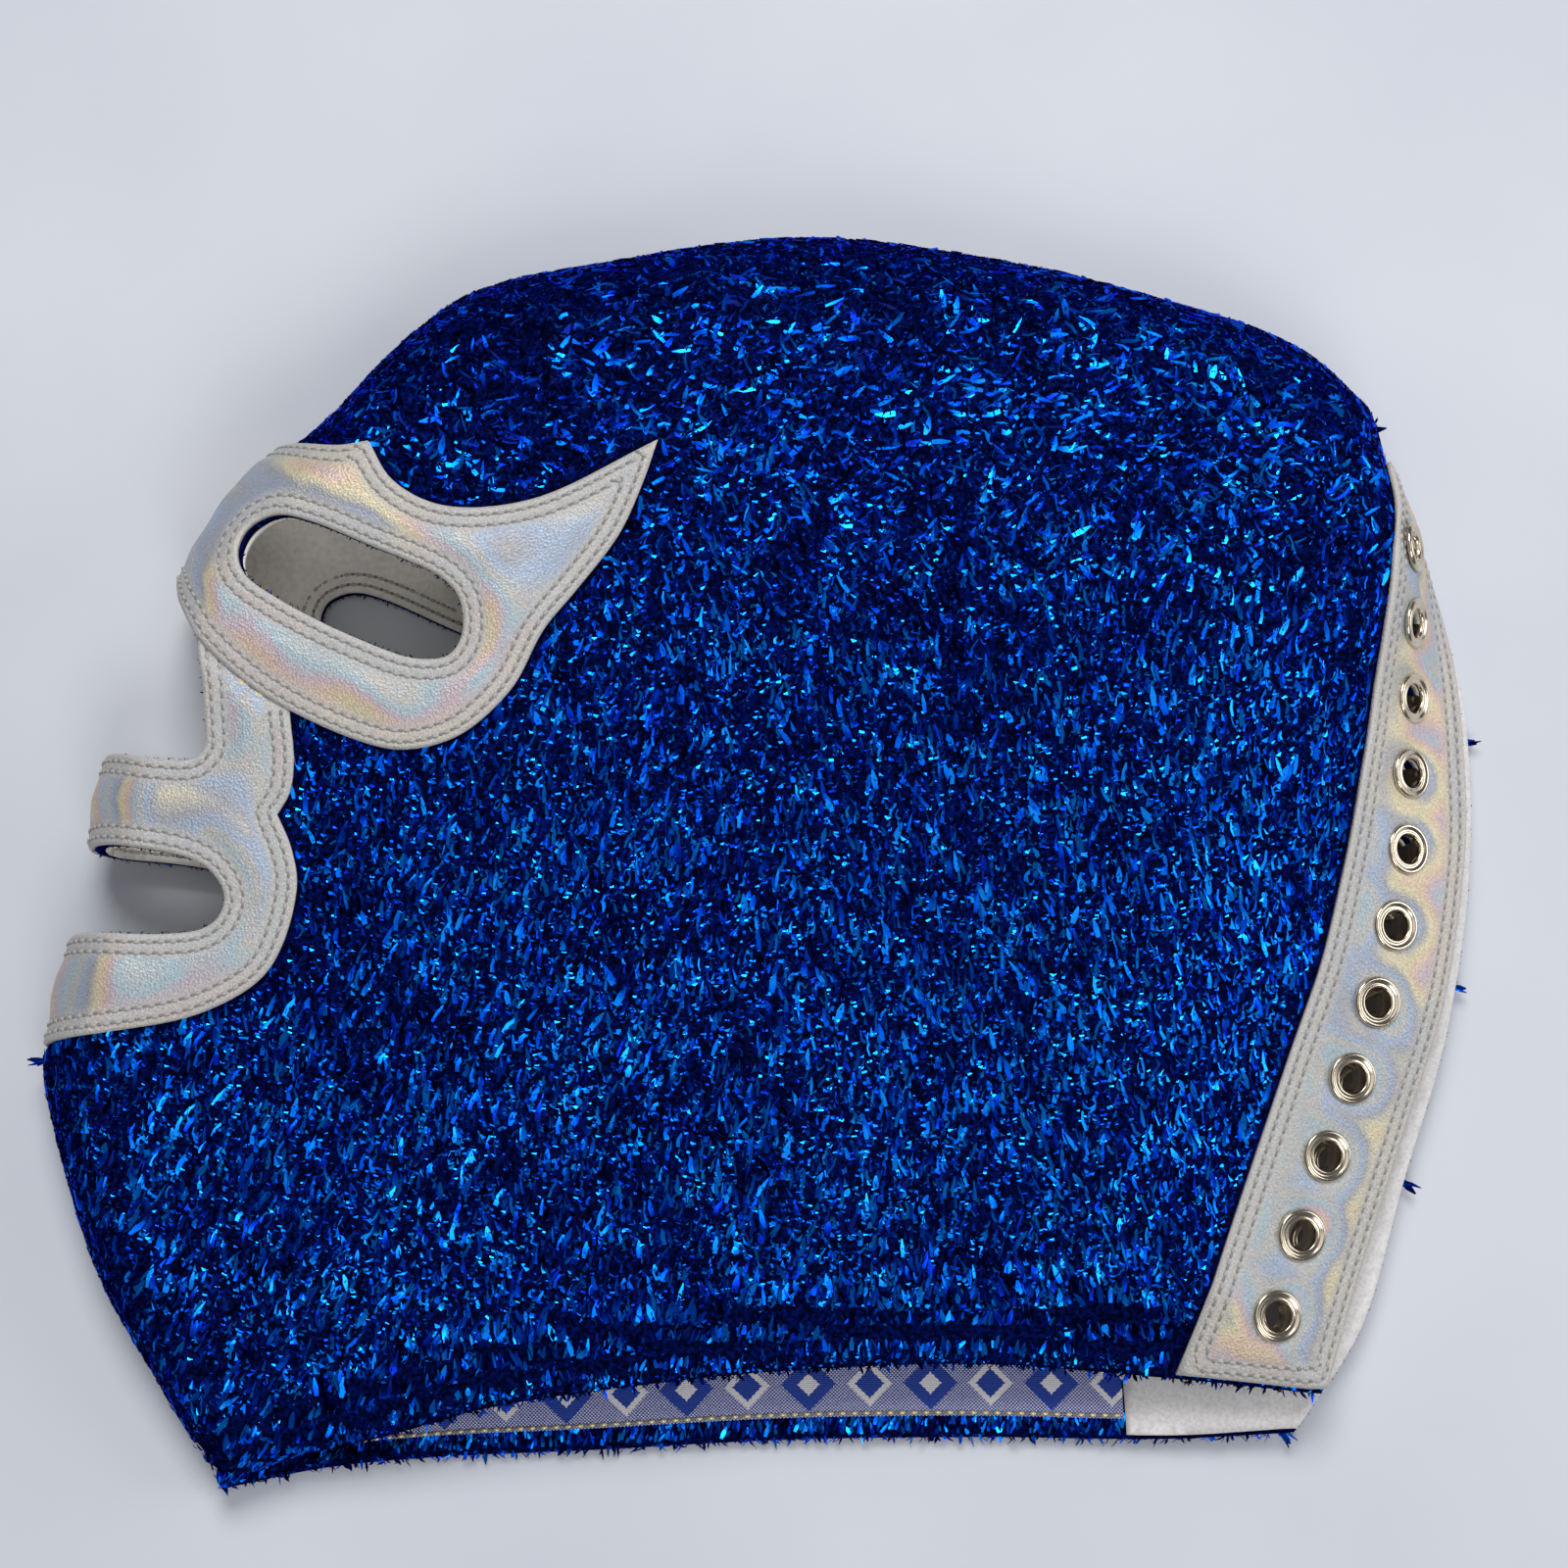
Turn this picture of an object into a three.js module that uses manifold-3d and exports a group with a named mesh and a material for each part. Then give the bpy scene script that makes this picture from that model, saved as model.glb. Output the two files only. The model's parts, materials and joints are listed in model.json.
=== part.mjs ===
// A luchador mask of tinsel knit, laid flat on its right side with the left side up.
// +X runs from the face to the laced back edge, +Y from the neck to the crown, and +Z up from
// the surface that it lies on, in millimetres. The two halves meet in one seam that runs from
// the throat over the face and the crown to the nape; the back and the hem are open.
import * as THREE from 'three';
import { mergeVertices } from 'three/addons/utils/BufferGeometryUtils.js';
import Module from 'manifold-3d';

const wasm = await Module();
wasm.setup();

// Overall sizes of the mask as it lies
const maskLength = 277;
const maskHeight = 247;
const crownLoft = 38;
const middleLoft = 30;
const seamHeight = 11;
const rollWidth = 25;
const underRollWidth = 6;

// Walls and the clearances between them
const shellWall = 2;
const liningWall = 1;
const vinylWall = 1.2;
const ribbonWall = 1;
const gap = 0.3;
const restGap = 0.3;

// Laced back edge and hem
const placketWidth = 28.5;
const facingWidth = 28.5;
const hemTurn = 4;
const ribbonWidth = 16;
const eyeletCount = 11;
const eyeletPitch = 0.0644 * maskHeight;
const eyeletTaper = 0.1;
const eyeletFromHem = 0.0445 * maskHeight;
const boreRadius = 2.7;
const barrelWall = 0.4;
const flangeRadius = 4.9;
const flangeDome = 0.9;
const flangeSeat = 0.6;
const washerRadius = 4.4;
const washerDome = 0.5;
const washerSeat = 1.2;

// Offsets of the layers from the outer face of the knit, outward positive
const vinylInside = gap;
const vinylOutside = vinylInside + vinylWall;
const liningOutside = -(shellWall + gap);
const liningInside = liningOutside - liningWall;
const ribbonInside = liningOutside - ribbonWall;
const flangeBase = vinylOutside + flangeSeat;
const flangeTop = flangeBase + flangeDome;
const washerBase = liningInside - washerSeat;
const washerTop = washerBase - washerDome;

// The right half is held this far off the surface where trims and eyelets lie under it
const trimLift = vinylOutside + restGap;
const lacingLift = flangeTop + restGap;
const trimReach = 0.7;
const trimEnd = 0.84;
const lacingReach = 0.3;
const lacingEnd = 0.7;

// Fineness of the faceted forms
const stationPitch = 32;
const upperRollSteps = 4;
const lowerRollSteps = 2;
const upperRows = [0.3, 0.64];
const lowerRows = [lacingReach, trimReach, trimEnd];
const roundSides = 8;
const clearanceSides = 6;
const curveSteps = 1;
const lineStep = 0.5;

// Cutting outlines run this far past the rim and past a corner, stop this many stations short of
// the corner, and reach this far above and below the surface that the mask lies on
const outsideMargin = 12;
const pastCorner = 15;
const cornerMargin = 0.03;
const ribbonStop = 1.2;
const cutDepth = 2 * crownLoft;
const boreDepth = 2 * flangeTop;

// Plan point that both halves fan out from, as shares of the length and the height
const heart = new THREE.Vector2(0.018 * maskLength, -0.008 * maskHeight);

function table(columns, rows) {
  return rows.map((row) => Object.fromEntries(columns.map((name, k) => [name, row[k]])));
}

// Rim tables. along and up are shares of the mask's length and height, edge is the height of the
// rim as a share of the seam's, top is the height that the left half rolls up to as a share of
// the crown's, roll is the width of that roll as a share of rollWidth, and hook is 2 where it
// stands up round, as at a seam, 1 where it rises gently, and less where it lies flat before it
// rises. trims and lacing are 1 where the right half has trims or eyelets under it.
const foldRim = table(['along', 'up', 'edge', 'top', 'roll', 'hook', 'trims', 'lacing'], [
  [-0.367, -0.475, 0.50, 0.34, 0.36, 2, 0, 0],
  [-0.413, -0.393, 0.64, 0.48, 0.52, 2, 0, 0],
  [-0.459, -0.303, 0.75, 0.56, 0.58, 2, 0.3, 0],
  [-0.496, -0.167, 0.90, 0.66, 0.60, 2, 1, 0],
  [-0.489, -0.120, 0.92, 0.70, 0.58, 2, 1, 0],
  [-0.470, -0.013, 0.92, 0.76, 0.56, 2, 1, 0],
  [-0.456, 0.092, 0.92, 0.81, 0.56, 2, 1, 0],
  [-0.410, 0.230, 0.92, 0.93, 0.60, 2, 1, 0],
  [-0.364, 0.314, 0.93, 0.97, 0.70, 2, 1, 0],
  [-0.314, 0.364, 0.96, 1.00, 0.85, 2, 1, 0],
  [-0.261, 0.430, 0.98, 1.00, 0.95, 2, 1, 0],
  [-0.206, 0.476, 1.00, 1.00, 1.00, 2, 1, 0],
  [-0.124, 0.499, 1.00, 1.00, 1.00, 2, 1, 0],
  [0.031, 0.523, 1.00, 1.00, 1.00, 2, 0.3, 0],
  [0.178, 0.503, 1.00, 1.00, 1.00, 2, 0, 0],
  [0.302, 0.467, 1.00, 1.00, 1.00, 2, 0, 0],
  [0.390, 0.429, 1.00, 1.00, 0.95, 2, 0, 0.3],
  [0.442, 0.374, 1.00, 1.00, 0.80, 2, 0, 1],
]);
const upperBack = table(['along', 'up', 'edge', 'top', 'roll', 'hook'], [
  [0.457, 0.305, 1.02, 0.97, 0.66, 2],
  [0.480, 0.240, 1.00, 0.95, 0.80, 0.9],
  [0.497, 0.166, 1.00, 0.88, 1.30, 0.55],
  [0.501, 0.083, 1.05, 0.84, 1.60, 0.52],
  [0.497, 0.009, 1.12, 0.80, 2.00, 0.7],
  [0.479, -0.096, 1.20, 0.77, 2.60, 0.9],
  [0.450, -0.190, 1.22, 0.73, 2.70, 1],
  [0.409, -0.320, 1.22, 0.70, 2.70, 1],
  [0.386, -0.402, 1.22, 0.67, 2.70, 1],
]);
const upperHem = table(['along', 'up', 'edge', 'top', 'roll', 'hook'], [
  [0.283, -0.390, 1.35, 0.68, 2.50, 1],
  [0.152, -0.379, 1.50, 0.71, 2.20, 1],
  [0.019, -0.384, 1.55, 0.72, 2.20, 1],
  [-0.087, -0.396, 1.48, 0.67, 2.00, 1],
  [-0.181, -0.412, 1.30, 0.57, 1.60, 1.1],
  [-0.248, -0.433, 1.08, 0.48, 1.10, 1.3],
  [-0.316, -0.451, 0.82, 0.40, 0.70, 1.6],
]);
const lowerBack = table(['along', 'up', 'edge', 'hook', 'lacing'], [
  [0.470, 0.290, 0.36, 1, 1],
  [0.505, 0.160, 0.32, 1, 1],
  [0.508, 0.020, 0.32, 1, 1],
  [0.487, -0.120, 0.32, 1, 1],
  [0.452, -0.240, 0.32, 1, 1],
  [0.420, -0.350, 0.32, 1, 1],
  [0.377, -0.414, 0.32, 1, 0.9],
]);
const lowerHem = table(['along', 'up', 'edge', 'hook', 'lacing'], [
  [0.253, -0.427, 0.14, 1, 0.4],
  [0.155, -0.436, 0.12, 1, 0],
  [0.020, -0.438, 0.12, 1, 0],
  [-0.117, -0.446, 0.12, 1, 0],
  [-0.218, -0.451, 0.15, 1, 0],
  [-0.295, -0.459, 0.24, 1, 0],
]);

// Soft folds of the left half. along and up place the middle, turn is the direction of the fold
// from +X in degrees, run and spread are its half length and half width as shares of the length,
// and depth is its height as a share of the crown's, negative for a valley.
const folds = table(['along', 'up', 'turn', 'run', 'spread', 'depth'], [
  [-0.385, -0.290, -52, 0.120, 0.045, -0.080],
  [-0.290, -0.340, -38, 0.130, 0.050, 0.080],
  [-0.060, -0.330, 2, 0.240, 0.045, -0.060],
  [0.280, 0.290, -28, 0.140, 0.050, -0.060],
  [0.040, 0.050, 84, 0.300, 0.090, -0.060],
  [0.290, -0.060, 78, 0.260, 0.080, 0.050],
  [-0.150, -0.060, 70, 0.150, 0.090, 0.050],
]);

// Outlines on the left half, as seen from above. A corner of 1 ends a smooth stretch. Rows past
// the seam carry an outline over the fold, and the right half repeats it at equal width.
const outlineColumns = ['along', 'up', 'corner'];
const eyeHole = table(outlineColumns, [
  [-0.356, 0.238, 0],
  [-0.351, 0.254, 0],
  [-0.340, 0.263, 0],
  [-0.327, 0.266, 0],
  [-0.307, 0.261, 0],
  [-0.268, 0.243, 0],
  [-0.215, 0.216, 0],
  [-0.203, 0.200, 0],
  [-0.201, 0.174, 0],
  [-0.210, 0.157, 0],
  [-0.232, 0.154, 0],
  [-0.276, 0.171, 0],
  [-0.327, 0.200, 0],
  [-0.351, 0.220, 0],
]);
const noseHole = table(outlineColumns, [
  [-0.500, 0.250, 1],
  [-0.410, 0.229, 0],
  [-0.397, 0.202, 0],
  [-0.384, 0.174, 1],
  [-0.379, 0.137, 0],
  [-0.376, 0.090, 1],
  [-0.383, 0.080, 0],
  [-0.410, 0.079, 0],
  [-0.456, 0.090, 0],
  [-0.520, 0.098, 1],
]);
const mouthHole = table(outlineColumns, [
  [-0.540, 0.020, 1],
  [-0.469, 0.018, 0],
  [-0.427, 0.012, 0],
  [-0.383, 0.001, 0],
  [-0.368, -0.012, 0],
  [-0.362, -0.027, 0],
  [-0.366, -0.042, 0],
  [-0.377, -0.051, 0],
  [-0.405, -0.055, 0],
  [-0.477, -0.052, 0],
  [-0.540, -0.050, 1],
]);
const eyePatch = table(outlineColumns, [
  [-0.410, 0.385, 1],
  [-0.328, 0.333, 0],
  [-0.290, 0.321, 0],
  [-0.267, 0.323, 1],
  [-0.250, 0.292, 0],
  [-0.216, 0.272, 0],
  [-0.156, 0.277, 0],
  [-0.068, 0.325, 1],
  [-0.078, 0.292, 0],
  [-0.094, 0.252, 0],
  [-0.123, 0.208, 0],
  [-0.145, 0.177, 0],
  [-0.168, 0.130, 0],
  [-0.202, 0.096, 0],
  [-0.239, 0.085, 0],
  [-0.269, 0.091, 0],
  [-0.338, 0.128, 0],
  [-0.384, 0.174, 0],
  [-0.397, 0.202, 0],
  [-0.410, 0.229, 0],
  [-0.480, 0.250, 1],
]);
const mouthPatch = table(outlineColumns, [
  [-0.550, -0.146, 1],
  [-0.491, -0.136, 0],
  [-0.443, -0.129, 0],
  [-0.376, -0.114, 0],
  [-0.332, -0.083, 0],
  [-0.313, -0.022, 0],
  [-0.317, 0.010, 0],
  [-0.327, 0.036, 1],
  [-0.319, 0.052, 0],
  [-0.316, 0.075, 0],
  [-0.319, 0.114, 0],
  [-0.325, 0.180, 1],
  [-0.500, 0.250, 1],
]);

// One half: its rim in three runs, from the throat over the crown, down the back and along the hem
function half(sign, back, hem) {
  const crownEnd = foldRim[foldRim.length - 1];
  const corner = back[back.length - 1];
  const runs = [foldRim, [crownEnd, ...back], [corner, ...hem, foldRim[0]]];
  const backStart = foldRim.length - 1;
  const backEnd = backStart + back.length;
  const spans = backEnd + hem.length + 1;
  const side = { sign, runs, backStart, backEnd, spans };
  side.stations = [];
  for (let k = 0; k < spans; k++) {
    const length = rimAt(side, k).point.distanceTo(rimAt(side, k + 1).point);
    const steps = Math.max(Math.round(length / stationPitch), 1);
    for (let i = 0; i < steps; i++) side.stations.push(k + i / steps);
  }
  side.ring = denseRing(side);
  return side;
}

function catmullRom(before, from, to, after, t) {
  const bend = 2 * before - 5 * from + 4 * to - after;
  const twist = 3 * from - before - 3 * to + after;
  return from + 0.5 * t * (to - before + t * (bend + t * twist));
}

// Values at t rows along a run, every column on its own smooth curve
function blend(rows, t) {
  const k = Math.min(Math.floor(t), rows.length - 2);
  const value = (i, name) => rows[i][name] ?? 0;
  const mixed = {};
  for (const name of Object.keys(foldRim[0])) {
    const from = value(k, name);
    const to = value(k + 1, name);
    const before = k > 0 ? value(k - 1, name) : 2 * from - to;
    const after = k + 2 < rows.length ? value(k + 2, name) : 2 * to - from;
    mixed[name] = catmullRom(before, from, to, after, t - k);
  }
  return mixed;
}

// The rim at station s in millimetres, with the way in to the heart
function rimAt(side, s) {
  let t = THREE.MathUtils.euclideanModulo(s, side.spans);
  let run = 0;
  while (t > side.runs[run].length - 1) {
    t -= side.runs[run].length - 1;
    run += 1;
  }
  const row = blend(side.runs[run], t);
  const point = new THREE.Vector2(row.along * maskLength, row.up * maskHeight);
  const inward = heart.clone().sub(point);
  const reach = inward.length();
  return {
    point,
    inward: inward.normalize(),
    reach,
    edge: row.edge * seamHeight,
    top: row.top * crownLoft,
    roll: row.roll * rollWidth,
    hook: THREE.MathUtils.clamp(row.hook, 0.5, 2),
    trims: THREE.MathUtils.clamp(row.trims, 0, 1),
    lacing: THREE.MathUtils.clamp(row.lacing, 0, 1),
  };
}

// Height of the soft folds at a plan point
function foldHeight(point) {
  let height = 0;
  for (const fold of folds) {
    const turn = THREE.MathUtils.degToRad(fold.turn);
    const x = point.x - fold.along * maskLength;
    const y = point.y - fold.up * maskHeight;
    const lengthwise = (x * Math.cos(turn) + y * Math.sin(turn)) / (fold.run * maskLength);
    const crosswise = (y * Math.cos(turn) - x * Math.sin(turn)) / (fold.spread * maskLength);
    height += fold.depth * crownLoft * Math.exp(-(lengthwise ** 2) - crosswise ** 2);
  }
  return height;
}

function fadeOut(distance, start, end) {
  return 1 - THREE.MathUtils.smoothstep(distance, start, end);
}

// How far the right half is held up at a plan distance in from its rim
function liftAt(rim, distance) {
  const share = distance / rim.reach;
  const trims = rim.trims * trimLift * fadeOut(share, trimReach, trimEnd);
  const lacing = rim.lacing * lacingLift * fadeOut(share, lacingReach, lacingEnd);
  return Math.max(trims, lacing);
}

function lowerEdge(rim) {
  return Math.max(rim.edge, liftAt(rim, 0));
}

function lowerRoll(rim) {
  return Math.max(lowerEdge(rim) - liftAt(rim, 0), underRollWidth);
}

// Share of the way from the rim to the roll's end that a rim of this hook has turned
function turned(rim, roll, distance) {
  const turn = Math.min(distance / roll, 1);
  return (1 - (1 - turn) ** 2) ** (1 / rim.hook);
}

// Height of a half's outer face at a plan distance in from its rim
function heightAt(side, rim, distance) {
  const inside = Math.max(distance, 0);
  if (side.sign > 0) {
    const rise = turned(rim, rim.roll, inside);
    const settle = THREE.MathUtils.smoothstep(inside, rim.roll, rim.reach);
    const point = rim.point.clone().addScaledVector(rim.inward, inside);
    const smooth = rim.edge + (rim.top - rim.edge) * rise + (middleLoft - rim.top) * settle;
    return smooth + foldHeight(point) * rise;
  }
  const lift = liftAt(rim, inside);
  return lift + (lowerEdge(rim) - lift) * (1 - turned(rim, lowerRoll(rim), inside));
}

// Plan distances in from the rim at which a half has its rows of points
function rowDistances(side, rim) {
  const steps = side.sign > 0 ? upperRollSteps : lowerRollSteps;
  const roll = side.sign > 0 ? rim.roll : lowerRoll(rim);
  const rows = [];
  for (let k = 0; k <= steps; k++) rows.push(roll * (1 - Math.cos((k / steps) * Math.PI / 2)));
  if (side.sign > 0) {
    for (const share of upperRows) rows.push(roll + share * (rim.reach - roll));
  } else {
    for (const share of lowerRows) rows.push(share * rim.reach);
  }
  return rows;
}

function facePoint(side, rim, distance) {
  const plan = rim.point.clone().addScaledVector(rim.inward, distance);
  return new THREE.Vector3(plan.x, plan.y, heightAt(side, rim, distance));
}

// Outward unit vector of the face at station s and row j
function faceNormal(side, s, j) {
  const alongStep = 0.05;
  const inStep = j === 0 ? 1e-4 : 0.02;
  const rim = rimAt(side, s);
  const distance = rowDistances(side, rim)[j];
  const ahead = rimAt(side, s + alongStep);
  const behind = rimAt(side, s - alongStep);
  const along = facePoint(side, ahead, rowDistances(side, ahead)[j])
    .sub(facePoint(side, behind, rowDistances(side, behind)[j]));
  const start = j === 0 ? distance : distance - inStep;
  const inward = facePoint(side, rim, distance + inStep).sub(facePoint(side, rim, start));
  const normal = along.cross(inward).normalize();
  return normal.z * side.sign < 0 ? normal.negate() : normal;
}

// Many points round the rim, by which a plan point finds its station
function denseRing(side) {
  const perSpan = 12;
  const ring = [];
  for (let k = 0; k < side.spans * perSpan; k++) {
    const s = k / perSpan;
    const away = rimAt(side, s).point.sub(heart);
    ring.push({ s, away });
  }
  return ring;
}

// Station of the radial line through a plan point, and the distance in from the rim there
function locate(side, point) {
  const ray = point.clone().sub(heart);
  const ring = side.ring;
  for (let k = 0; k < ring.length; k++) {
    const from = ring[k].away;
    const to = ring[(k + 1) % ring.length].away;
    const before = from.cross(ray);
    const after = to.cross(ray);
    if (before <= 0 && after > 0 && from.dot(ray) + to.dot(ray) > 0) {
      const s = ring[k].s + (ring[1].s - ring[0].s) * before / (before - after);
      const rim = rimAt(side, s);
      return { rim, distance: rim.reach - ray.length() };
    }
  }
  return { rim: rimAt(side, 0), distance: rimAt(side, 0).reach - ray.length() };
}

function surfaceHeight(side, point) {
  const { rim, distance } = locate(side, point);
  return heightAt(side, rim, distance);
}

// Length along the face from the rim in to a plan distance
function lengthIn(side, rim, distance) {
  const steps = 40;
  let length = 0;
  let last = facePoint(side, rim, 0);
  for (let k = 1; k <= steps; k++) {
    const next = facePoint(side, rim, distance * (k / steps) ** 2);
    length += next.distanceTo(last);
    last = next;
  }
  return length;
}

// The plan point of the right half that lies as far from the seam as one of the left half
function acrossTheFold(point) {
  const { rim, distance } = locate(upper, point);
  if (distance <= 0) return point.clone();
  const width = lengthIn(upper, rim, distance);
  const halvings = 30;
  let low = 0;
  let high = rim.reach;
  for (let k = 0; k < halvings; k++) {
    const middle = (low + high) / 2;
    if (lengthIn(lower, rim, middle) < width) low = middle;
    else high = middle;
  }
  return rim.point.clone().addScaledVector(rim.inward, low);
}

// Plan point beside the rim: in by a width over the surface, or out by a negative plan width
function besideRim(side, s, width) {
  const nudge = 0.02;
  const rim = rimAt(side, s);
  const along = rimAt(side, s + nudge).point.sub(rimAt(side, s - nudge).point).normalize();
  const inward = new THREE.Vector2(along.y, -along.x);
  if (width <= 0) return rim.point.clone().addScaledVector(inward, width);
  const step = 0.25;
  let walked = 0;
  let plan = 0;
  let last = rim.edge;
  while (walked < width) {
    plan += step;
    const next = surfaceHeight(side, rim.point.clone().addScaledVector(inward, plan));
    walked += Math.hypot(step, next - last);
    last = next;
  }
  return rim.point.clone().addScaledVector(inward, plan);
}

// Line beside the rim from one station to another, through every part station between them
function parallelLine(side, from, to, width) {
  const low = Math.min(from, to);
  const high = Math.max(from, to);
  const between = [];
  for (let s = Math.ceil(low / lineStep) * lineStep; s < high; s += lineStep) {
    if (s - low > lineStep / 5 && high - s > lineStep / 5) between.push(s);
  }
  if (from > to) between.reverse();
  return [from, ...between, to].map((s) => besideRim(side, s, width));
}

// Closed band between two widths from the rim, carried on straight past both ends
function band(side, from, to, inner, outer, before, after) {
  const lines = [outer, inner].map((width) => {
    const line = parallelLine(side, from, to, width);
    const last = line.length - 1;
    const startWay = line[0].clone().sub(line[1]).normalize();
    const endWay = line[last].clone().sub(line[last - 1]).normalize();
    const start = line[0].clone().addScaledVector(startWay, before);
    const end = line[last].clone().addScaledVector(endWay, after);
    return [start, ...line, end];
  });
  return [...lines[0], ...lines[1].reverse()];
}

// Plan outline from a table, smooth between its corners
function outline(rows) {
  const points = rows.map((row) => new THREE.Vector3(row.along * maskLength, row.up * maskHeight, 0));
  const corners = rows.map((row, k) => (row.corner ? k : -1)).filter((k) => k >= 0);
  const flat = (list) => list.map((p) => new THREE.Vector2(p.x, p.y));
  if (corners.length === 0) {
    const loop = new THREE.CatmullRomCurve3(points, true);
    return flat(loop.getPoints(points.length * curveSteps).slice(0, -1));
  }
  const path = [];
  corners.forEach((start, k) => {
    const end = corners[(k + 1) % corners.length];
    const count = (end - start + points.length) % points.length;
    const stretch = [];
    for (let i = 0; i <= count; i++) stretch.push(points[(start + i) % points.length]);
    const steps = count > 1 ? count * curveSteps : 1;
    path.push(...flat(new THREE.CatmullRomCurve3(stretch).getPoints(steps).slice(0, -1)));
  });
  return path;
}

// The same outline grown outward by a clearance
function grow(points, clearance) {
  const clockwise = THREE.ShapeUtils.isClockWise(points) ? 1 : -1;
  return points.map((point, k) => {
    const previous = points[(k + points.length - 1) % points.length];
    const next = points[(k + 1) % points.length];
    const along = next.clone().sub(previous).normalize().multiplyScalar(clockwise * clearance);
    return new THREE.Vector2(point.x - along.y, point.y + along.x);
  });
}

function solid(geometry) {
  const bare = geometry.clone();
  bare.deleteAttribute('normal');
  bare.deleteAttribute('uv');
  const merged = mergeVertices(bare, 1e-4);
  const vertProperties = new Float32Array(merged.attributes.position.array);
  const triVerts = new Uint32Array(merged.index.array);
  return new wasm.Manifold(new wasm.Mesh({ numProp: 3, vertProperties, triVerts }));
}

// Upright block over a plan outline, through both halves
function prism(points) {
  const shape = new THREE.Shape(points);
  const block = new THREE.ExtrudeGeometry(shape, { depth: 2 * cutDepth, bevelEnabled: false });
  block.translate(0, 0, -cutDepth);
  return solid(block);
}

// Closed sheet of one half between two offsets from its face. seam is the gap left between the
// halves at the rim, negative where they run into each other.
function sheet(side, outside, inside, seam) {
  const grid = side.stations.map((s) => {
    const rim = rimAt(side, s);
    return rowDistances(side, rim).map((distance, j) => {
      const point = facePoint(side, rim, distance);
      if (j === 0 && s <= side.backStart) point.z += side.sign * seam / 2;
      return { point, normal: faceNormal(side, s, j) };
    });
  });
  const columns = grid.length;
  const rows = grid[0].length;
  const layer = columns * rows + 1;
  const positions = [];
  for (const offset of [outside, inside]) {
    for (const { point, normal } of grid.flat()) {
      positions.push(...point.clone().addScaledVector(normal, offset).toArray());
    }
    const pole = side.sign > 0 ? middleLoft + foldHeight(heart) : 0;
    positions.push(heart.x, heart.y, pole + side.sign * offset);
  }
  const triangles = [];
  const add = (a, b, c) => triangles.push(...(side.sign > 0 ? [a, c, b] : [a, b, c]));
  for (let i = 0; i < columns; i++) {
    const here = i * rows;
    const next = ((i + 1) % columns) * rows;
    for (let j = 0; j < rows - 1; j++) {
      add(here + j, next + j, next + j + 1);
      add(here + j, next + j + 1, here + j + 1);
      add(layer + here + j, layer + next + j + 1, layer + next + j);
      add(layer + here + j, layer + here + j + 1, layer + next + j + 1);
    }
    add(here + rows - 1, next + rows - 1, layer - 1);
    add(layer + here + rows - 1, 2 * layer - 1, layer + next + rows - 1);
    add(here, layer + next, next);
    add(here, layer + here, layer + next);
  }
  const geometry = new THREE.BufferGeometry();
  geometry.setAttribute('position', new THREE.Float32BufferAttribute(positions, 3));
  geometry.setIndex(triangles);
  return solid(geometry);
}

// Places of the eyelets of one half, from the hem up along the middle of the placket. Each next
// pitch is shorter, so that the one at the top is eyeletTaper less than the one at the hem.
function eyeletSeats(side) {
  const line = parallelLine(side, side.backEnd - cornerMargin, placketTop(side), placketWidth / 2);
  const onFace = (plan) => new THREE.Vector3(plan.x, plan.y, surfaceHeight(side, plan));
  const points = line.map(onFace);
  const seats = [];
  let walked = 0;
  for (let k = 1; k < points.length && seats.length < eyeletCount; k++) {
    const length = points[k].distanceTo(points[k - 1]);
    const shrink = 1 - eyeletTaper * seats.length / (2 * eyeletCount);
    const wanted = eyeletFromHem + seats.length * eyeletPitch * shrink;
    if (walked + length >= wanted) {
      const plan = line[k - 1].clone().lerp(line[k], (wanted - walked) / length);
      seats.push({ point: onFace(plan), normal: normalAtPlan(side, plan) });
    }
    walked += length;
  }
  return seats.reverse();
}

function normalAtPlan(side, plan) {
  const reach = 2;
  const height = (dx, dy) => surfaceHeight(side, new THREE.Vector2(plan.x + dx, plan.y + dy));
  const slopeX = (height(reach, 0) - height(-reach, 0)) / (2 * reach);
  const slopeY = (height(0, reach) - height(0, -reach)) / (2 * reach);
  return new THREE.Vector3(-slopeX, -slopeY, 1).normalize().multiplyScalar(side.sign);
}

function placketTop(side) {
  return side.backStart + 0.9;
}

// A turned form stood on its seat, its axis along the seat's outward direction
function standOn(seat, geometry) {
  const up = new THREE.Vector3(0, 1, 0);
  const turn = new THREE.Quaternion().setFromUnitVectors(up, seat.normal);
  return geometry.clone().applyQuaternion(turn).translate(...seat.point.toArray());
}

function eyeletForm() {
  const barrel = boreRadius + barrelWall;
  const profile = [
    [boreRadius, washerTop],
    [washerRadius, washerTop],
    [barrel, washerBase],
    [barrel, flangeBase],
    [flangeRadius, flangeBase],
    [boreRadius, flangeTop],
    [boreRadius, washerTop],
  ];
  return new THREE.LatheGeometry(profile.map(([r, y]) => new THREE.Vector2(r, y)), roundSides);
}

function boreForm() {
  const radius = (boreRadius + barrelWall + gap) / Math.cos(Math.PI / clearanceSides);
  return new THREE.CylinderGeometry(radius, radius, 2 * boreDepth, clearanceSides);
}

const upper = half(1, upperBack, upperHem);
const lower = half(-1, lowerBack, lowerHem);
const sides = { left: upper, right: lower };

const outlines = { eyeHole, noseHole, mouthHole, eyePatch, mouthPatch };
const drawn = Object.fromEntries(Object.entries(outlines).map(([name, rows]) => [name, outline(rows)]));

function onSide(side, name) {
  return side === upper ? drawn[name] : drawn[name].map(acrossTheFold);
}

function openings(side) {
  return ['eyeHole', 'noseHole', 'mouthHole'].map((name) => prism(onSide(side, name)));
}

function backStrip(side, width) {
  return band(side, placketTop(side), side.backEnd - cornerMargin, width, -outsideMargin, 0, pastCorner);
}

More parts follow.
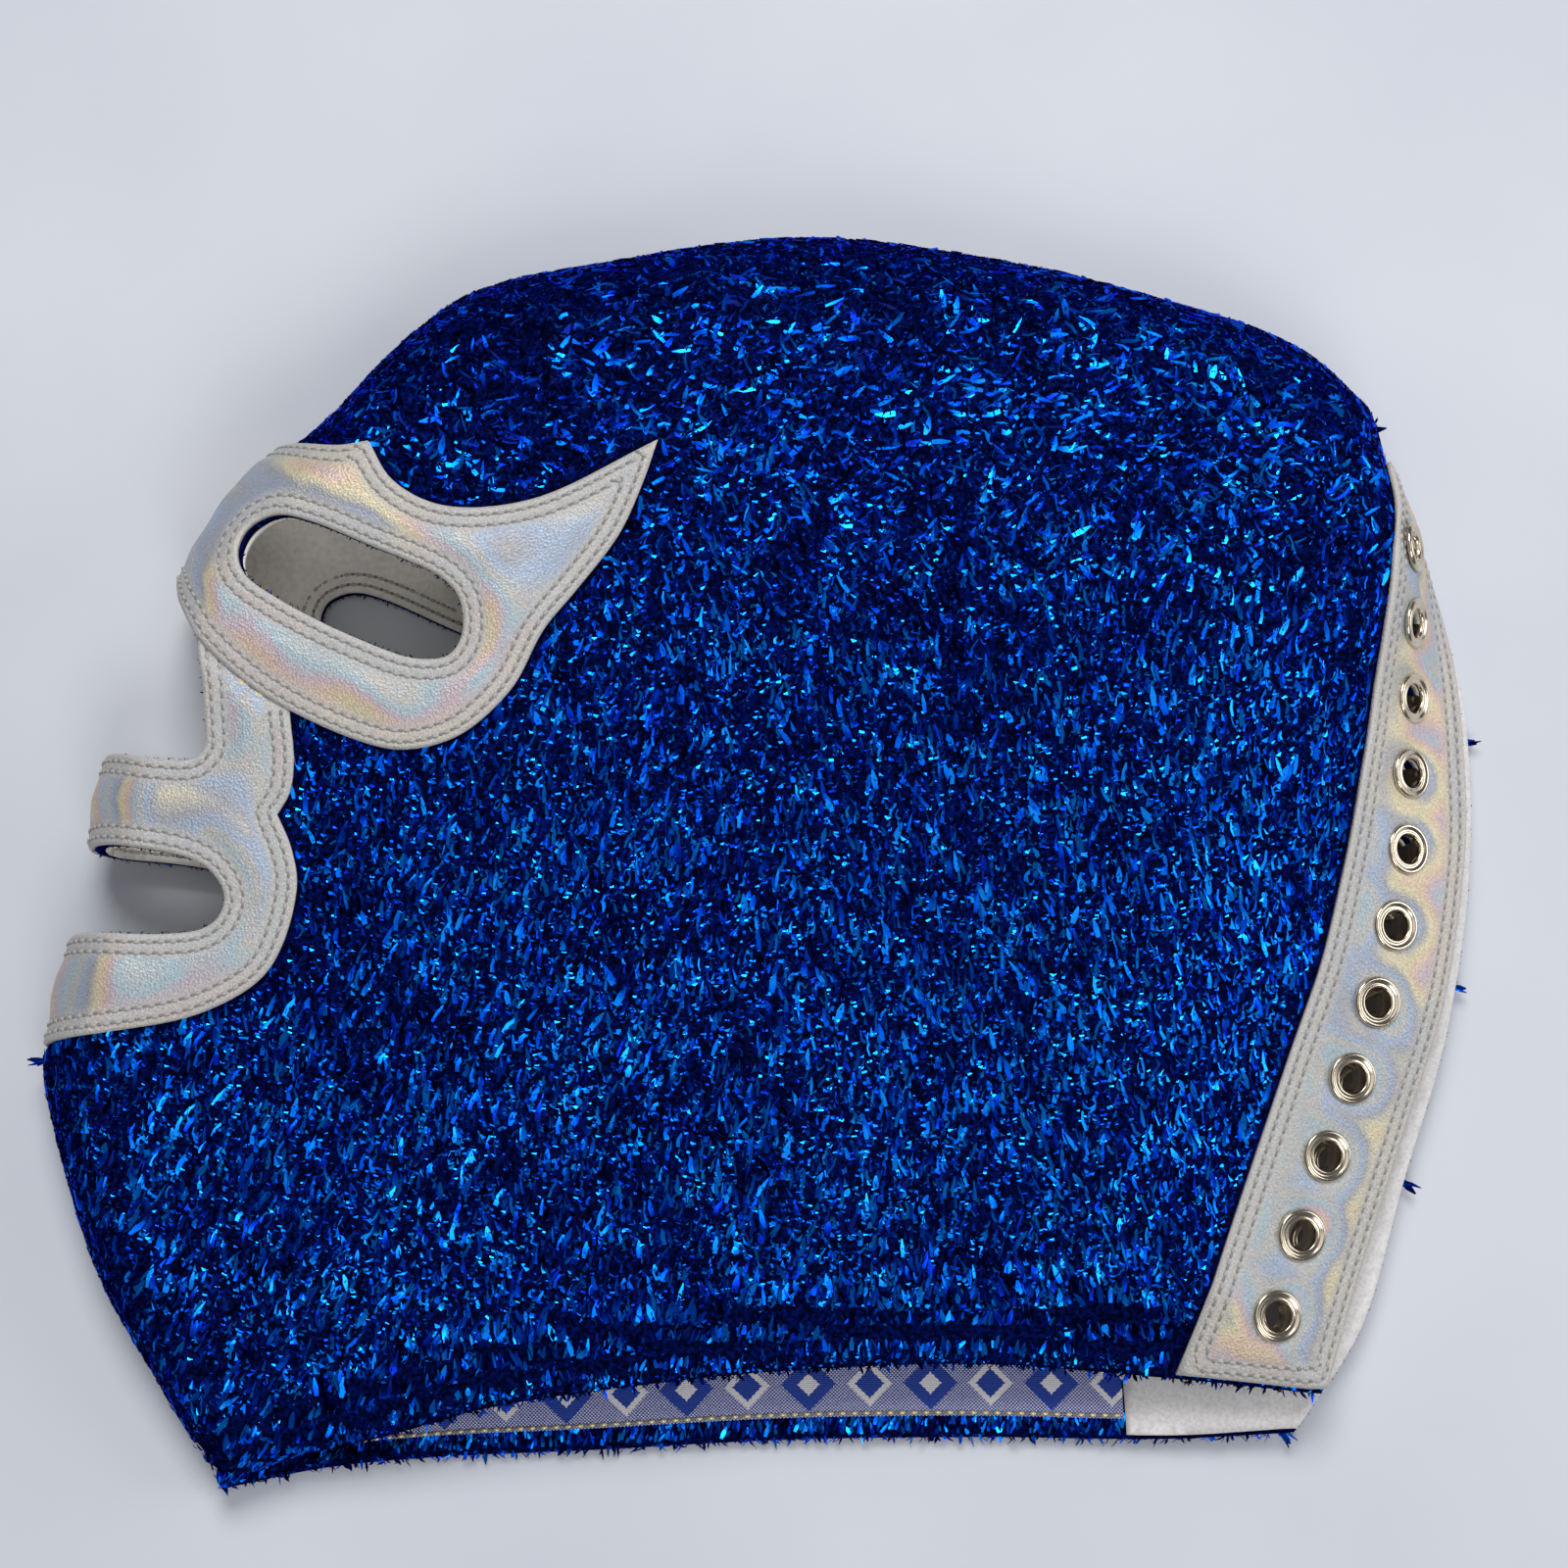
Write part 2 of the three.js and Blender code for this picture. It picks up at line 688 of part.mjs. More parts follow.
function hemBand(side, inner, outer, ends) {
  const stop = side.spans - cornerMargin - ends.stop;
  return band(side, side.backEnd + cornerMargin, stop, inner, outer, ends.past, ends.past);
}

// Builds every solid of one half, and the halves of the two trims that the seam joins
function buildHalf(side) {
  const seats = eyeletSeats(side);
  const bores = wasm.Manifold.union(seats.map((seat) => solid(standOn(seat, boreForm()))));
  const holes = wasm.Manifold.union(openings(side));
  const vinyl = sheet(side, vinylOutside, vinylInside, -gap);
  const inner = sheet(side, liningOutside, liningInside, gap);
  const ribbonSheet = sheet(side, liningOutside, ribbonInside, gap);
  const strip = prism(backStrip(side, placketWidth));
  const facingStrip = prism(backStrip(side, facingWidth));
  const besideFacing = prism(backStrip(side, facingWidth + gap));
  const ribbonTop = hemTurn + ribbonWidth;
  const ribbonBand = prism(hemBand(side, ribbonTop, hemTurn, { stop: ribbonStop, past: 0 }));
  const hemStrip = prism(hemBand(side, ribbonTop + gap, -outsideMargin, { stop: 0, past: pastCorner }));
  const eye = onSide(side, 'eyePatch');
  const eyePrism = prism(eye);
  const mouth = prism(onSide(side, 'mouthPatch'));
  return {
    seats,
    shell: sheet(side, 0, -shellWall, gap).subtract(holes).subtract(bores),
    lining: inner.subtract(holes).subtract(besideFacing).subtract(hemStrip),
    facing: inner.intersect(facingStrip).subtract(bores),
    placket: vinyl.intersect(strip).subtract(bores),
    ribbon: ribbonSheet.intersect(ribbonBand).subtract(besideFacing),
    eyeTrim: vinyl.intersect(eyePrism).subtract(holes),
    mouthTrim: vinyl.intersect(mouth).subtract(holes).subtract(prism(grow(eye, gap))),
  };
}

// Finishes
const tinselKnit = new THREE.MeshStandardMaterial({ color: 0x0b3fb4, roughness: 0.45, metalness: 0.3 });
const creamLining = new THREE.MeshStandardMaterial({ color: 0xcfc6b8, roughness: 0.9, metalness: 0 });
const silverVinyl = new THREE.MeshStandardMaterial({ color: 0xc9c6c6, roughness: 0.35, metalness: 0.5 });
const nickel = new THREE.MeshStandardMaterial({ color: 0xbdb3a2, roughness: 0.25, metalness: 1 });
const jacquard = new THREE.MeshStandardMaterial({ color: 0x5d74bd, roughness: 0.7, metalness: 0.1 });

const mask = new THREE.Group();

function addMesh(name, geometry, material) {
  const mesh = new THREE.Mesh(geometry, material);
  mesh.name = name;
  mask.add(mesh);
  return mesh;
}

function addSolid(name, body, material) {
  const { vertProperties, triVerts } = body.getMesh();
  const geometry = new THREE.BufferGeometry();
  geometry.setAttribute('position', new THREE.Float32BufferAttribute(vertProperties, 3));
  geometry.setIndex(new THREE.BufferAttribute(triVerts, 1));
  geometry.computeVertexNormals();
  return addMesh(name, geometry, material);
}

const halves = { left: buildHalf(upper), right: buildHalf(lower) };
for (const [name, parts] of Object.entries(halves)) {
  addSolid(`shell_${name}`, parts.shell, tinselKnit);
  addSolid(`lining_${name}`, parts.lining, creamLining);
  addSolid(`placket_${name}`, parts.placket, silverVinyl);
  addSolid(`facing_${name}`, parts.facing, creamLining);
  addSolid(`hem_ribbon_${name}`, parts.ribbon, jacquard);
  parts.seats.forEach((seat, k) => {
    const number = String(k + 1).padStart(2, '0');
    addMesh(`eyelet_${name}_${number}`, standOn(seat, eyeletForm()), nickel);
  });
}
addSolid('eye_trim', halves.left.eyeTrim.add(halves.right.eyeTrim), silverVinyl);
addSolid('mouth_trim', halves.left.mouthTrim.add(halves.right.mouthTrim), silverVinyl);

// The origin is the middle of the mask's plan, on the surface that it lies on
const box = new THREE.Box3().setFromObject(mask);
const middle = box.getCenter(new THREE.Vector3());
mask.position.set(-middle.x, -middle.y, -box.min.z);

export default mask;
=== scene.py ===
import json
import math
import bmesh
import bpy
import numpy as np
from mathutils import Matrix, Vector
from mathutils.geometry import delaunay_2d_cdt

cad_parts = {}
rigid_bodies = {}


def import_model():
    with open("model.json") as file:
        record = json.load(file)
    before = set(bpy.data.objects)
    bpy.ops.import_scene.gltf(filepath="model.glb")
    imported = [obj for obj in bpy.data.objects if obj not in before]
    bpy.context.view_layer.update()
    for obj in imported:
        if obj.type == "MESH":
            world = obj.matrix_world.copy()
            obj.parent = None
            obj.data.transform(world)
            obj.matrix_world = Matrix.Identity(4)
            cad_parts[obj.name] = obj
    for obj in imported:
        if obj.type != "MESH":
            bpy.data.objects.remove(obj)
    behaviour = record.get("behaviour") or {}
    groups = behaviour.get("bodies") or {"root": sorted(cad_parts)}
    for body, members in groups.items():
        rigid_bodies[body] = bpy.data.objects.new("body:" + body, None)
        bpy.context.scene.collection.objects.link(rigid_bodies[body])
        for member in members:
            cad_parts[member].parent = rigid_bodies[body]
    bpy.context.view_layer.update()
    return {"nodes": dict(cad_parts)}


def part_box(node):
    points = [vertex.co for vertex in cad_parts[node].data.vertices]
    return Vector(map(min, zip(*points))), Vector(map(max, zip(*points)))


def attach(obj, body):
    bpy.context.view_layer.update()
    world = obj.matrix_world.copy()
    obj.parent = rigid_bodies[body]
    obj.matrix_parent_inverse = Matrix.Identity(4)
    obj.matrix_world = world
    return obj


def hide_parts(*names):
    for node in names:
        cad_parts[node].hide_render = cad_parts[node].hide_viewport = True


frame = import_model()
print("frame loaded")

# The mask as it lies, in millimetres. +X runs from the face to the back, +Y from neck to crown.
mask = {
    "length": 277.0,
    "height": 247.0,
    "crownLoft": 38.0,
    "middleLoft": 30.0,
    "seamHeight": 11.0,
    "rollWidth": 25.0,
    "underRollWidth": 6.0,
    "trimLift": 1.8,
    "lacingLift": 3.3,
    "trimReach": 0.7,
    "trimEnd": 0.84,
    "lacingReach": 0.3,
    "lacingEnd": 0.7,
}
planSize = np.array([mask["length"], mask["height"]])
heart = np.array([0.018, -0.008]) * planSize

# along, up, edge, top, roll, hook, trims, lacing of the rim, as in the model's source
foldRim = np.array([
    [-0.367, -0.475, 0.50, 0.34, 0.36, 2, 0, 0],
    [-0.413, -0.393, 0.64, 0.48, 0.52, 2, 0, 0],
    [-0.459, -0.303, 0.75, 0.56, 0.58, 2, 0.3, 0],
    [-0.496, -0.167, 0.90, 0.66, 0.60, 2, 1, 0],
    [-0.489, -0.120, 0.92, 0.70, 0.58, 2, 1, 0],
    [-0.470, -0.013, 0.92, 0.76, 0.56, 2, 1, 0],
    [-0.456, 0.092, 0.92, 0.81, 0.56, 2, 1, 0],
    [-0.410, 0.230, 0.92, 0.93, 0.60, 2, 1, 0],
    [-0.364, 0.314, 0.93, 0.97, 0.70, 2, 1, 0],
    [-0.314, 0.364, 0.96, 1.00, 0.85, 2, 1, 0],
    [-0.261, 0.430, 0.98, 1.00, 0.95, 2, 1, 0],
    [-0.206, 0.476, 1.00, 1.00, 1.00, 2, 1, 0],
    [-0.124, 0.499, 1.00, 1.00, 1.00, 2, 1, 0],
    [0.031, 0.523, 1.00, 1.00, 1.00, 2, 0.3, 0],
    [0.178, 0.503, 1.00, 1.00, 1.00, 2, 0, 0],
    [0.302, 0.467, 1.00, 1.00, 1.00, 2, 0, 0],
    [0.390, 0.429, 1.00, 1.00, 0.95, 2, 0, 0.3],
    [0.442, 0.374, 1.00, 1.00, 0.80, 2, 0, 1],
])
upperBack = np.array([
    [0.457, 0.305, 1.02, 0.97, 0.66, 2, 0, 0],
    [0.480, 0.240, 1.00, 0.95, 0.80, 0.9, 0, 0],
    [0.497, 0.166, 1.00, 0.88, 1.30, 0.55, 0, 0],
    [0.501, 0.083, 1.05, 0.84, 1.60, 0.52, 0, 0],
    [0.497, 0.009, 1.12, 0.80, 2.00, 0.7, 0, 0],
    [0.479, -0.096, 1.20, 0.77, 2.60, 0.9, 0, 0],
    [0.450, -0.190, 1.22, 0.73, 2.70, 1, 0, 0],
    [0.409, -0.320, 1.22, 0.70, 2.70, 1, 0, 0],
    [0.386, -0.402, 1.22, 0.67, 2.70, 1, 0, 0],
])
upperHem = np.array([
    [0.283, -0.390, 1.35, 0.68, 2.50, 1, 0, 0],
    [0.152, -0.379, 1.50, 0.71, 2.20, 1, 0, 0],
    [0.019, -0.384, 1.55, 0.72, 2.20, 1, 0, 0],
    [-0.087, -0.396, 1.48, 0.67, 2.00, 1, 0, 0],
    [-0.181, -0.412, 1.30, 0.57, 1.60, 1.1, 0, 0],
    [-0.248, -0.433, 1.08, 0.48, 1.10, 1.3, 0, 0],
    [-0.316, -0.451, 0.82, 0.40, 0.70, 1.6, 0, 0],
])
lowerBack = np.array([
    [0.470, 0.290, 0.36, 0, 0, 1, 0, 1],
    [0.505, 0.160, 0.32, 0, 0, 1, 0, 1],
    [0.508, 0.020, 0.32, 0, 0, 1, 0, 1],
    [0.487, -0.120, 0.32, 0, 0, 1, 0, 1],
    [0.452, -0.240, 0.32, 0, 0, 1, 0, 1],
    [0.420, -0.350, 0.32, 0, 0, 1, 0, 1],
    [0.372, -0.432, 0.32, 0, 0, 1, 0, 0.9],
])
lowerHem = np.array([
    [0.275, -0.437, 0.14, 0, 0, 1, 0, 0.4],
    [0.155, -0.436, 0.12, 0, 0, 1, 0, 0],
    [0.020, -0.438, 0.12, 0, 0, 1, 0, 0],
    [-0.117, -0.446, 0.12, 0, 0, 1, 0, 0],
    [-0.218, -0.451, 0.15, 0, 0, 1, 0, 0],
    [-0.295, -0.459, 0.24, 0, 0, 1, 0, 0],
])
# along, up, turn, run, spread, depth of the soft folds
folds = [
    (-0.385, -0.290, -52, 0.120, 0.045, -0.080),
    (-0.290, -0.340, -38, 0.130, 0.050, 0.080),
    (-0.060, -0.330, 2, 0.240, 0.045, -0.060),
    (0.280, 0.290, -28, 0.140, 0.050, -0.060),
    (0.040, 0.050, 84, 0.300, 0.090, -0.060),
    (0.290, -0.060, 78, 0.260, 0.080, 0.050),
    (-0.150, -0.060, 70, 0.150, 0.090, 0.050),
]
# along, up, corner of the outlines
outlines = {
    "eyeHole": [
        (-0.356, 0.238, 0), (-0.351, 0.254, 0), (-0.340, 0.263, 0), (-0.327, 0.266, 0),
        (-0.307, 0.261, 0), (-0.268, 0.243, 0), (-0.215, 0.216, 0), (-0.203, 0.200, 0),
        (-0.201, 0.174, 0), (-0.210, 0.157, 0), (-0.232, 0.154, 0), (-0.276, 0.171, 0),
        (-0.327, 0.200, 0), (-0.351, 0.220, 0),
    ],
    "noseHole": [
        (-0.500, 0.250, 1), (-0.410, 0.229, 0), (-0.397, 0.202, 0), (-0.384, 0.174, 1),
        (-0.379, 0.137, 0), (-0.376, 0.090, 1), (-0.383, 0.080, 0), (-0.410, 0.079, 0),
        (-0.456, 0.090, 0), (-0.520, 0.098, 1),
    ],
    "mouthHole": [
        (-0.540, 0.020, 1), (-0.469, 0.018, 0), (-0.427, 0.012, 0), (-0.383, 0.001, 0),
        (-0.368, -0.012, 0), (-0.362, -0.027, 0), (-0.366, -0.042, 0), (-0.377, -0.051, 0),
        (-0.405, -0.055, 0), (-0.477, -0.052, 0), (-0.540, -0.050, 1),
    ],
    "eyePatch": [
        (-0.410, 0.385, 1), (-0.328, 0.333, 0), (-0.290, 0.321, 0), (-0.267, 0.323, 1),
        (-0.250, 0.292, 0), (-0.216, 0.272, 0), (-0.156, 0.277, 0), (-0.068, 0.325, 1),
        (-0.078, 0.292, 0), (-0.094, 0.252, 0), (-0.123, 0.208, 0), (-0.145, 0.177, 0),
        (-0.168, 0.130, 0), (-0.202, 0.096, 0), (-0.239, 0.085, 0), (-0.269, 0.091, 0),
        (-0.338, 0.128, 0), (-0.384, 0.174, 0), (-0.397, 0.202, 0), (-0.410, 0.229, 0),
        (-0.480, 0.250, 1),
    ],
    "mouthPatch": [
        (-0.550, -0.146, 1), (-0.491, -0.136, 0), (-0.443, -0.129, 0), (-0.376, -0.114, 0),
        (-0.332, -0.083, 0), (-0.313, -0.022, 0), (-0.317, 0.010, 0), (-0.327, 0.036, 1),
        (-0.319, 0.052, 0), (-0.316, 0.075, 0), (-0.319, 0.114, 0), (-0.325, 0.180, 1),
        (-0.500, 0.250, 1),
    ],
}
strips = {
    "placket": 28.5, "placketTop": 0.9, "vinylClear": 1.3, "hemTurn": 4.0, "ribbon": 16.0, "gap": 0.3,
}
# Width of the near lacing strip that the knit leaves bare, by stations below its top
placketBare = ((0.9, 1.55, 2.16, 2.72, 3.4, 4.3, 5.5, 9.0), (12.8, 18.2, 22.0, 23.8, 25.6, 27.0, 27.6, 28.2))

# The frame's own place for the mask
shellLow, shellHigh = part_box("shell_left")
shift = np.array([
    shellLow.x * 1000 - foldRim[3, 0] * mask["length"],
    shellLow.y * 1000 - foldRim[0, 1] * mask["height"],
    0.0,
])


def smoothStep(x, low, high):
    t = np.clip((x - low) / (high - low), 0, 1)
    return t * t * (3 - 2 * t)


def rimAt(half, s):
    s = np.mod(np.asarray(s, float), half["spans"])
    rows = np.zeros((len(s), 8))
    start = 0
    for run in half["runs"]:
        n = len(run)
        padded = np.vstack([2 * run[0] - run[1], run, 2 * run[-1] - run[-2]])
        own = (s >= start) & (s <= start + n - 1)
        t = s[own] - start
        k = np.clip(np.floor(t).astype(int), 0, n - 2)
        t = (t - k)[:, None]
        p0, p1, p2, p3 = (padded[k + i] for i in range(4))
        rows[own] = p1 + 0.5 * t * (p2 - p0 + t * (
            2 * p0 - 5 * p1 + 4 * p2 - p3 + t * (3 * (p1 - p2) + p3 - p0)))
        start += n - 1
    point = rows[:, :2] * planSize
    inward = heart - point
    reach = np.hypot(*inward.T)
    return {
        "point": point,
        "inward": inward / reach[:, None],
        "reach": reach,
        "edge": rows[:, 2] * mask["seamHeight"],
        "top": rows[:, 3] * mask["crownLoft"],
        "roll": rows[:, 4] * mask["rollWidth"],
        "hook": np.clip(rows[:, 5], 0.5, 2),
        "trims": np.clip(rows[:, 6], 0, 1),
        "lacing": np.clip(rows[:, 7], 0, 1),
    }


def foldHeight(point):
    height = 0
    for along, up, turn, run, spread, depth in folds:
        turn = math.radians(turn)
        x = point[..., 0] - along * mask["length"]
        y = point[..., 1] - up * mask["height"]
        lengthwise = (x * math.cos(turn) + y * math.sin(turn)) / (run * mask["length"])
        crosswise = (y * math.cos(turn) - x * math.sin(turn)) / (spread * mask["length"])
        height = height + depth * mask["crownLoft"] * np.exp(-lengthwise ** 2 - crosswise ** 2)
    return height


def heightAt(half, rim, distance):
    # distance has one row for each rim station
    column = {k: v[:, None] for k, v in rim.items() if v.ndim == 1}
    inside = np.maximum(distance, 0)

    def turned(roll):
        turn = np.minimum(inside / roll, 1)
        return (1 - (1 - turn) ** 2) ** (1 / column["hook"])

    if half["sign"] > 0:
        rise = turned(column["roll"])
        settle = smoothStep(inside, column["roll"], column["reach"])
        point = rim["point"][:, None] + rim["inward"][:, None] * inside[..., None]
        smooth = column["edge"] + (column["top"] - column["edge"]) * rise
        smooth = smooth + (mask["middleLoft"] - column["top"]) * settle
        return smooth + foldHeight(point) * rise

    def lift(share):
        trims = column["trims"] * mask["trimLift"] * (
            1 - smoothStep(share, mask["trimReach"], mask["trimEnd"]))
        lacing = column["lacing"] * mask["lacingLift"] * (
            1 - smoothStep(share, mask["lacingReach"], mask["lacingEnd"]))
        return np.maximum(trims, lacing)

    edge = np.maximum(column["edge"], lift(0 * column["edge"]))
    roll = np.maximum(edge - lift(0 * column["edge"]), mask["underRollWidth"])
    held = lift(inside / column["reach"])
    return held + (edge - held) * (1 - turned(roll))


fine = {"turns": 1440, "arcStep": 0.5}


def makeHalf(sign, back, hem):
    # A polar table of the face: turn clockwise from the throat, and length in from the rim
    half = {
        "sign": sign,
        "runs": [foldRim, np.vstack([foldRim[-1:], back]), np.vstack([back[-1:], hem, foldRim[:1]])],
        "backStart": len(foldRim) - 1,
        "backEnd": len(foldRim) - 1 + len(back),
        "spans": len(foldRim) + len(back) + len(hem),
    }
    s = np.linspace(0, half["spans"], half["spans"] * 40 + 1)
    away = rimAt(half, s)["point"] - heart
    angle = -np.unwrap(np.arctan2(away[:, 1], away[:, 0]))
    half["startAngle"] = -angle[0]
    turn = np.maximum.accumulate(angle - angle[0])
    turn[-1] = 2 * math.pi
    half["turnOf"] = lambda station: np.interp(station, s, turn)
    half["stationOf"] = lambda psi: np.interp(psi, turn, s)
    psi = np.linspace(0, 2 * math.pi, fine["turns"] + 1)
    rim = rimAt(half, half["stationOf"](psi))
    distance = rim["reach"][:, None] * np.linspace(0, 1, 420) ** 2.5
    height = heightAt(half, rim, distance)
    arc = np.cumsum(np.hypot(np.diff(distance), np.diff(height)), axis=1)
    arc = np.hstack([np.zeros((len(psi), 1)), arc])
    steps = np.arange(0, arc[:, -1].max() + 2 * fine["arcStep"], fine["arcStep"])
    inside = np.stack([np.interp(steps, a, d) for a, d in zip(arc, distance)])
    height = heightAt(half, rim, inside)
    plan = rim["point"][:, None] + rim["inward"][:, None] * inside[..., None]
    place = np.dstack([plan, height])
    along = np.empty_like(place)
    along[1:-1] = place[2:] - place[:-2]
    along[0] = place[1] - place[0]
    along[-1] = place[-1] - place[-2]
    inwardWay = np.empty_like(place)
    inwardWay[:, 1:-1] = place[:, 2:] - place[:, :-2]
    inwardWay[:, 0] = place[:, 1] - place[:, 0]
    inwardWay[:, -1] = inwardWay[:, -2]
    normal = np.cross(inwardWay, along) * sign
    length = np.linalg.norm(normal, axis=2, keepdims=True)
    normal = np.where(length > 1e-9, normal / np.maximum(length, 1e-9), [0, 0, sign])
    half.update(arc=arc, distance=distance, reach=rim["reach"], arcMax=arc[:, -1],
                place=place, normal=normal)
    return half


def cell(half, psi):
    u = np.mod(psi, 2 * math.pi) / (2 * math.pi) * fine["turns"]
    i = np.minimum(u.astype(int), fine["turns"] - 1)
    return i, u - i


def arcMaxAt(half, psi):
    i, f = cell(half, psi)
    return half["arcMax"][i] * (1 - f) + half["arcMax"][i + 1] * f


def onFace(half, psi, arc):
    # Place and outward direction on the face
    i, f = cell(half, np.asarray(psi, float))
    last = half["place"].shape[1] - 2
    v = np.clip(np.asarray(arc, float) / fine["arcStep"], 0, last)
    k = np.minimum(v.astype(int), last)
    f, g = f[:, None], (v - k)[:, None]

    def mix(table):
        near = table[i, k] * (1 - g) + table[i, k + 1] * g
        return near * (1 - f) + (table[i + 1, k] * (1 - g) + table[i + 1, k + 1] * g) * f

    normal = mix(half["normal"])
    return mix(half["place"]), normal / np.linalg.norm(normal, axis=1, keepdims=True)


def toPolar(half, plan):
    # Turn and length in from the rim of plan points, negative past the rim
    away = np.asarray(plan, float) - heart
    psi = np.mod(half["startAngle"] - np.arctan2(away[:, 1], away[:, 0]), 2 * math.pi)
    i, f = cell(half, psi)
    reach = half["reach"][i] * (1 - f) + half["reach"][i + 1] * f
    d = reach - np.hypot(*away.T)
    arc = np.array([np.interp(x, half["distance"][j], half["arc"][j]) for x, j in zip(d, i)])
    return np.column_stack([psi, np.where(d < 0, d, arc)])


def toFlat(half, polar):
    # The face laid out round the heart, lengths in from the rim kept
    radius = arcMaxAt(half, polar[:, 0]) - polar[:, 1]
    angle = half["startAngle"] - polar[:, 0]
    return heart + np.column_stack([np.cos(angle), np.sin(angle)]) * radius[:, None]


def fromFlat(half, flat):
    away = flat - heart
    psi = np.mod(half["startAngle"] - np.arctan2(away[:, 1], away[:, 0]), 2 * math.pi)
    return np.column_stack([psi, arcMaxAt(half, psi) - np.hypot(*away.T)])


upper = makeHalf(1, upperBack, upperHem)
lower = makeHalf(-1, lowerBack, lowerHem)
foldEnd = float(upper["turnOf"](upper["backStart"]))
print("surface laid out")


def smoothOutline(rows, step=1.2):
    # Centripetal curves between the corners, with a point about every step millimetres
    points = np.array([row[:2] for row in rows]) * planSize
    corners = [k for k, row in enumerate(rows) if row[2]]
    stretches = []
    if not corners:
        stretches.append(np.vstack([points[-1:], points, points[:2]]))
    for k, start in enumerate(corners):
        end = corners[(k + 1) % len(corners)]
        count = (end - start) % len(rows)
        part = points[[(start + i) % len(rows) for i in range(count + 1)]]
        stretches.append(np.vstack([2 * part[0] - part[1], part, 2 * part[-1] - part[-2]]))
    path = []
    for part in stretches:
        for k in range(1, len(part) - 2):
            p = part[k - 1:k + 3]
            gaps = np.maximum(np.hypot(*np.diff(p, axis=0).T) ** 0.5, 1e-4)
            t = np.concatenate([[0], np.cumsum(gaps)])
            n = max(int(math.ceil(np.hypot(*(p[2] - p[1])) / step)), 1)
            if len(part) == 4:
                path.append(p[1] + (p[2] - p[1]) * np.arange(n)[:, None] / n)
                continue
            x = t[1] + (t[2] - t[1]) * np.arange(n)[:, None] / n
            a1 = ((t[1] - x) * p[0] + (x - t[0]) * p[1]) / (t[1] - t[0])
            a2 = ((t[2] - x) * p[1] + (x - t[1]) * p[2]) / (t[2] - t[1])
            a3 = ((t[3] - x) * p[2] + (x - t[2]) * p[3]) / (t[3] - t[2])
            b1 = ((t[2] - x) * a1 + (x - t[0]) * a2) / (t[2] - t[0])
            b2 = ((t[3] - x) * a2 + (x - t[1]) * a3) / (t[3] - t[1])
            path.append(((t[2] - x) * b1 + (x - t[1]) * b2) / (t[2] - t[1]))
    return np.vstack(path)


def withCrossings(polar):
    # The closed outline with a point wherever it crosses the rim
    out = []
    for a, b in zip(polar, np.roll(polar, -1, axis=0)):
        out.append(a)
        if a[1] * b[1] < 0:
            f = a[1] / (a[1] - b[1])
            turn = (b[0] - a[0] + math.pi) % (2 * math.pi) - math.pi
            out.append([(a[0] + f * turn) % (2 * math.pi), 0.0])
    return np.array(out)


drawn = {name: withCrossings(toPolar(upper, smoothOutline(rows))) for name, rows in outlines.items()}
crossings = np.concatenate([p[p[:, 1] == 0, 0] for p in drawn.values()])


def rimTurns(half, spacing):
    # Turns round the rim, the corners and the outlines' crossings among them
    psi = np.linspace(0, 2 * math.pi, 4 * fine["turns"] + 1)
    place = onFace(half, psi, 0 * psi)[0]
    walked = np.concatenate([[0], np.cumsum(np.linalg.norm(np.diff(place, axis=0), axis=1))])
    corners = [0.0, foldEnd, float(half["turnOf"](half["backEnd"])), 2 * math.pi]
    turns = []
    for a, b in zip(corners, corners[1:]):
        start, end = np.interp([a, b], psi, walked)
        n = max(int(round((end - start) / spacing)), 1)
        turns.append(np.interp(start + (end - start) * np.arange(n) / n, walked, psi))
    turns = np.concatenate(turns)
    near = np.abs(turns[:, None] - crossings[None]).min(axis=1) < 0.3 * spacing / 130
    keep = ~near | np.isin(turns, corners)
    return np.sort(np.concatenate([turns[keep], crossings]))


def rimFlat(half, stations):
    psi = half["turnOf"](stations)
    return toFlat(half, np.column_stack([psi, 0 * psi]))


def besideRim(half, stations, width):
    # Flat points at a width over the face from the rim, square to it
    nudge = 0.03
    ahead = rimFlat(half, np.minimum(stations + nudge, stations.max()))
    behind = rimFlat(half, np.maximum(stations - nudge, stations.min()))
    along = ahead - behind
    along /= np.hypot(*along.T)[:, None]
    return rimFlat(half, stations) + np.column_stack([along[:, 1], -along[:, 0]]) * np.reshape(width, (-1, 1))


def straightOn(line, before, after):
    first = line[0] + (line[0] - line[1]) / np.hypot(*(line[0] - line[1])) * before
    last = line[-1] + (line[-1] - line[-2]) / np.hypot(*(line[-1] - line[-2])) * after
    return np.vstack([first[None], line, last[None]])


def bandLoop(half, start, end, inner, outer, before, after):
    # inner and outer are widths, or functions of the station
    stations = np.linspace(start, end, int(abs(end - start) * 12) + 2)
    widths = [w(stations) if callable(w) else w for w in (outer, inner)]
    lines = [straightOn(besideRim(half, stations, w), before, after) for w in widths]
    return np.vstack([lines[0], lines[1][::-1]])


def within(points, loop):
    x, y = points.T
    hit = np.zeros(len(points), bool)
    for (ax, ay), (bx, by) in zip(loop, np.roll(loop, -1, axis=0)):
        if ay == by:
            continue
        crossed = (ay > y) != (by > y)
        hit ^= crossed & (x < ax + (y - ay) * (bx - ax) / (by - ay))
    return hit


def distanceTo(points, starts, ends):
    # Distance from each point to the nearest of the segments
    best = np.full(len(points), 1e9)
    way = ends - starts
    size = np.maximum((way ** 2).sum(1), 1e-12)
    for k in range(0, len(points), 2000):
        p = points[k:k + 2000, None]
        t = np.clip(((p - starts) * way).sum(2) / size, 0, 1)
        best[k:k + 2000] = np.sqrt((((p - starts) - t[..., None] * way) ** 2).sum(2)).min(axis=1)
    return best


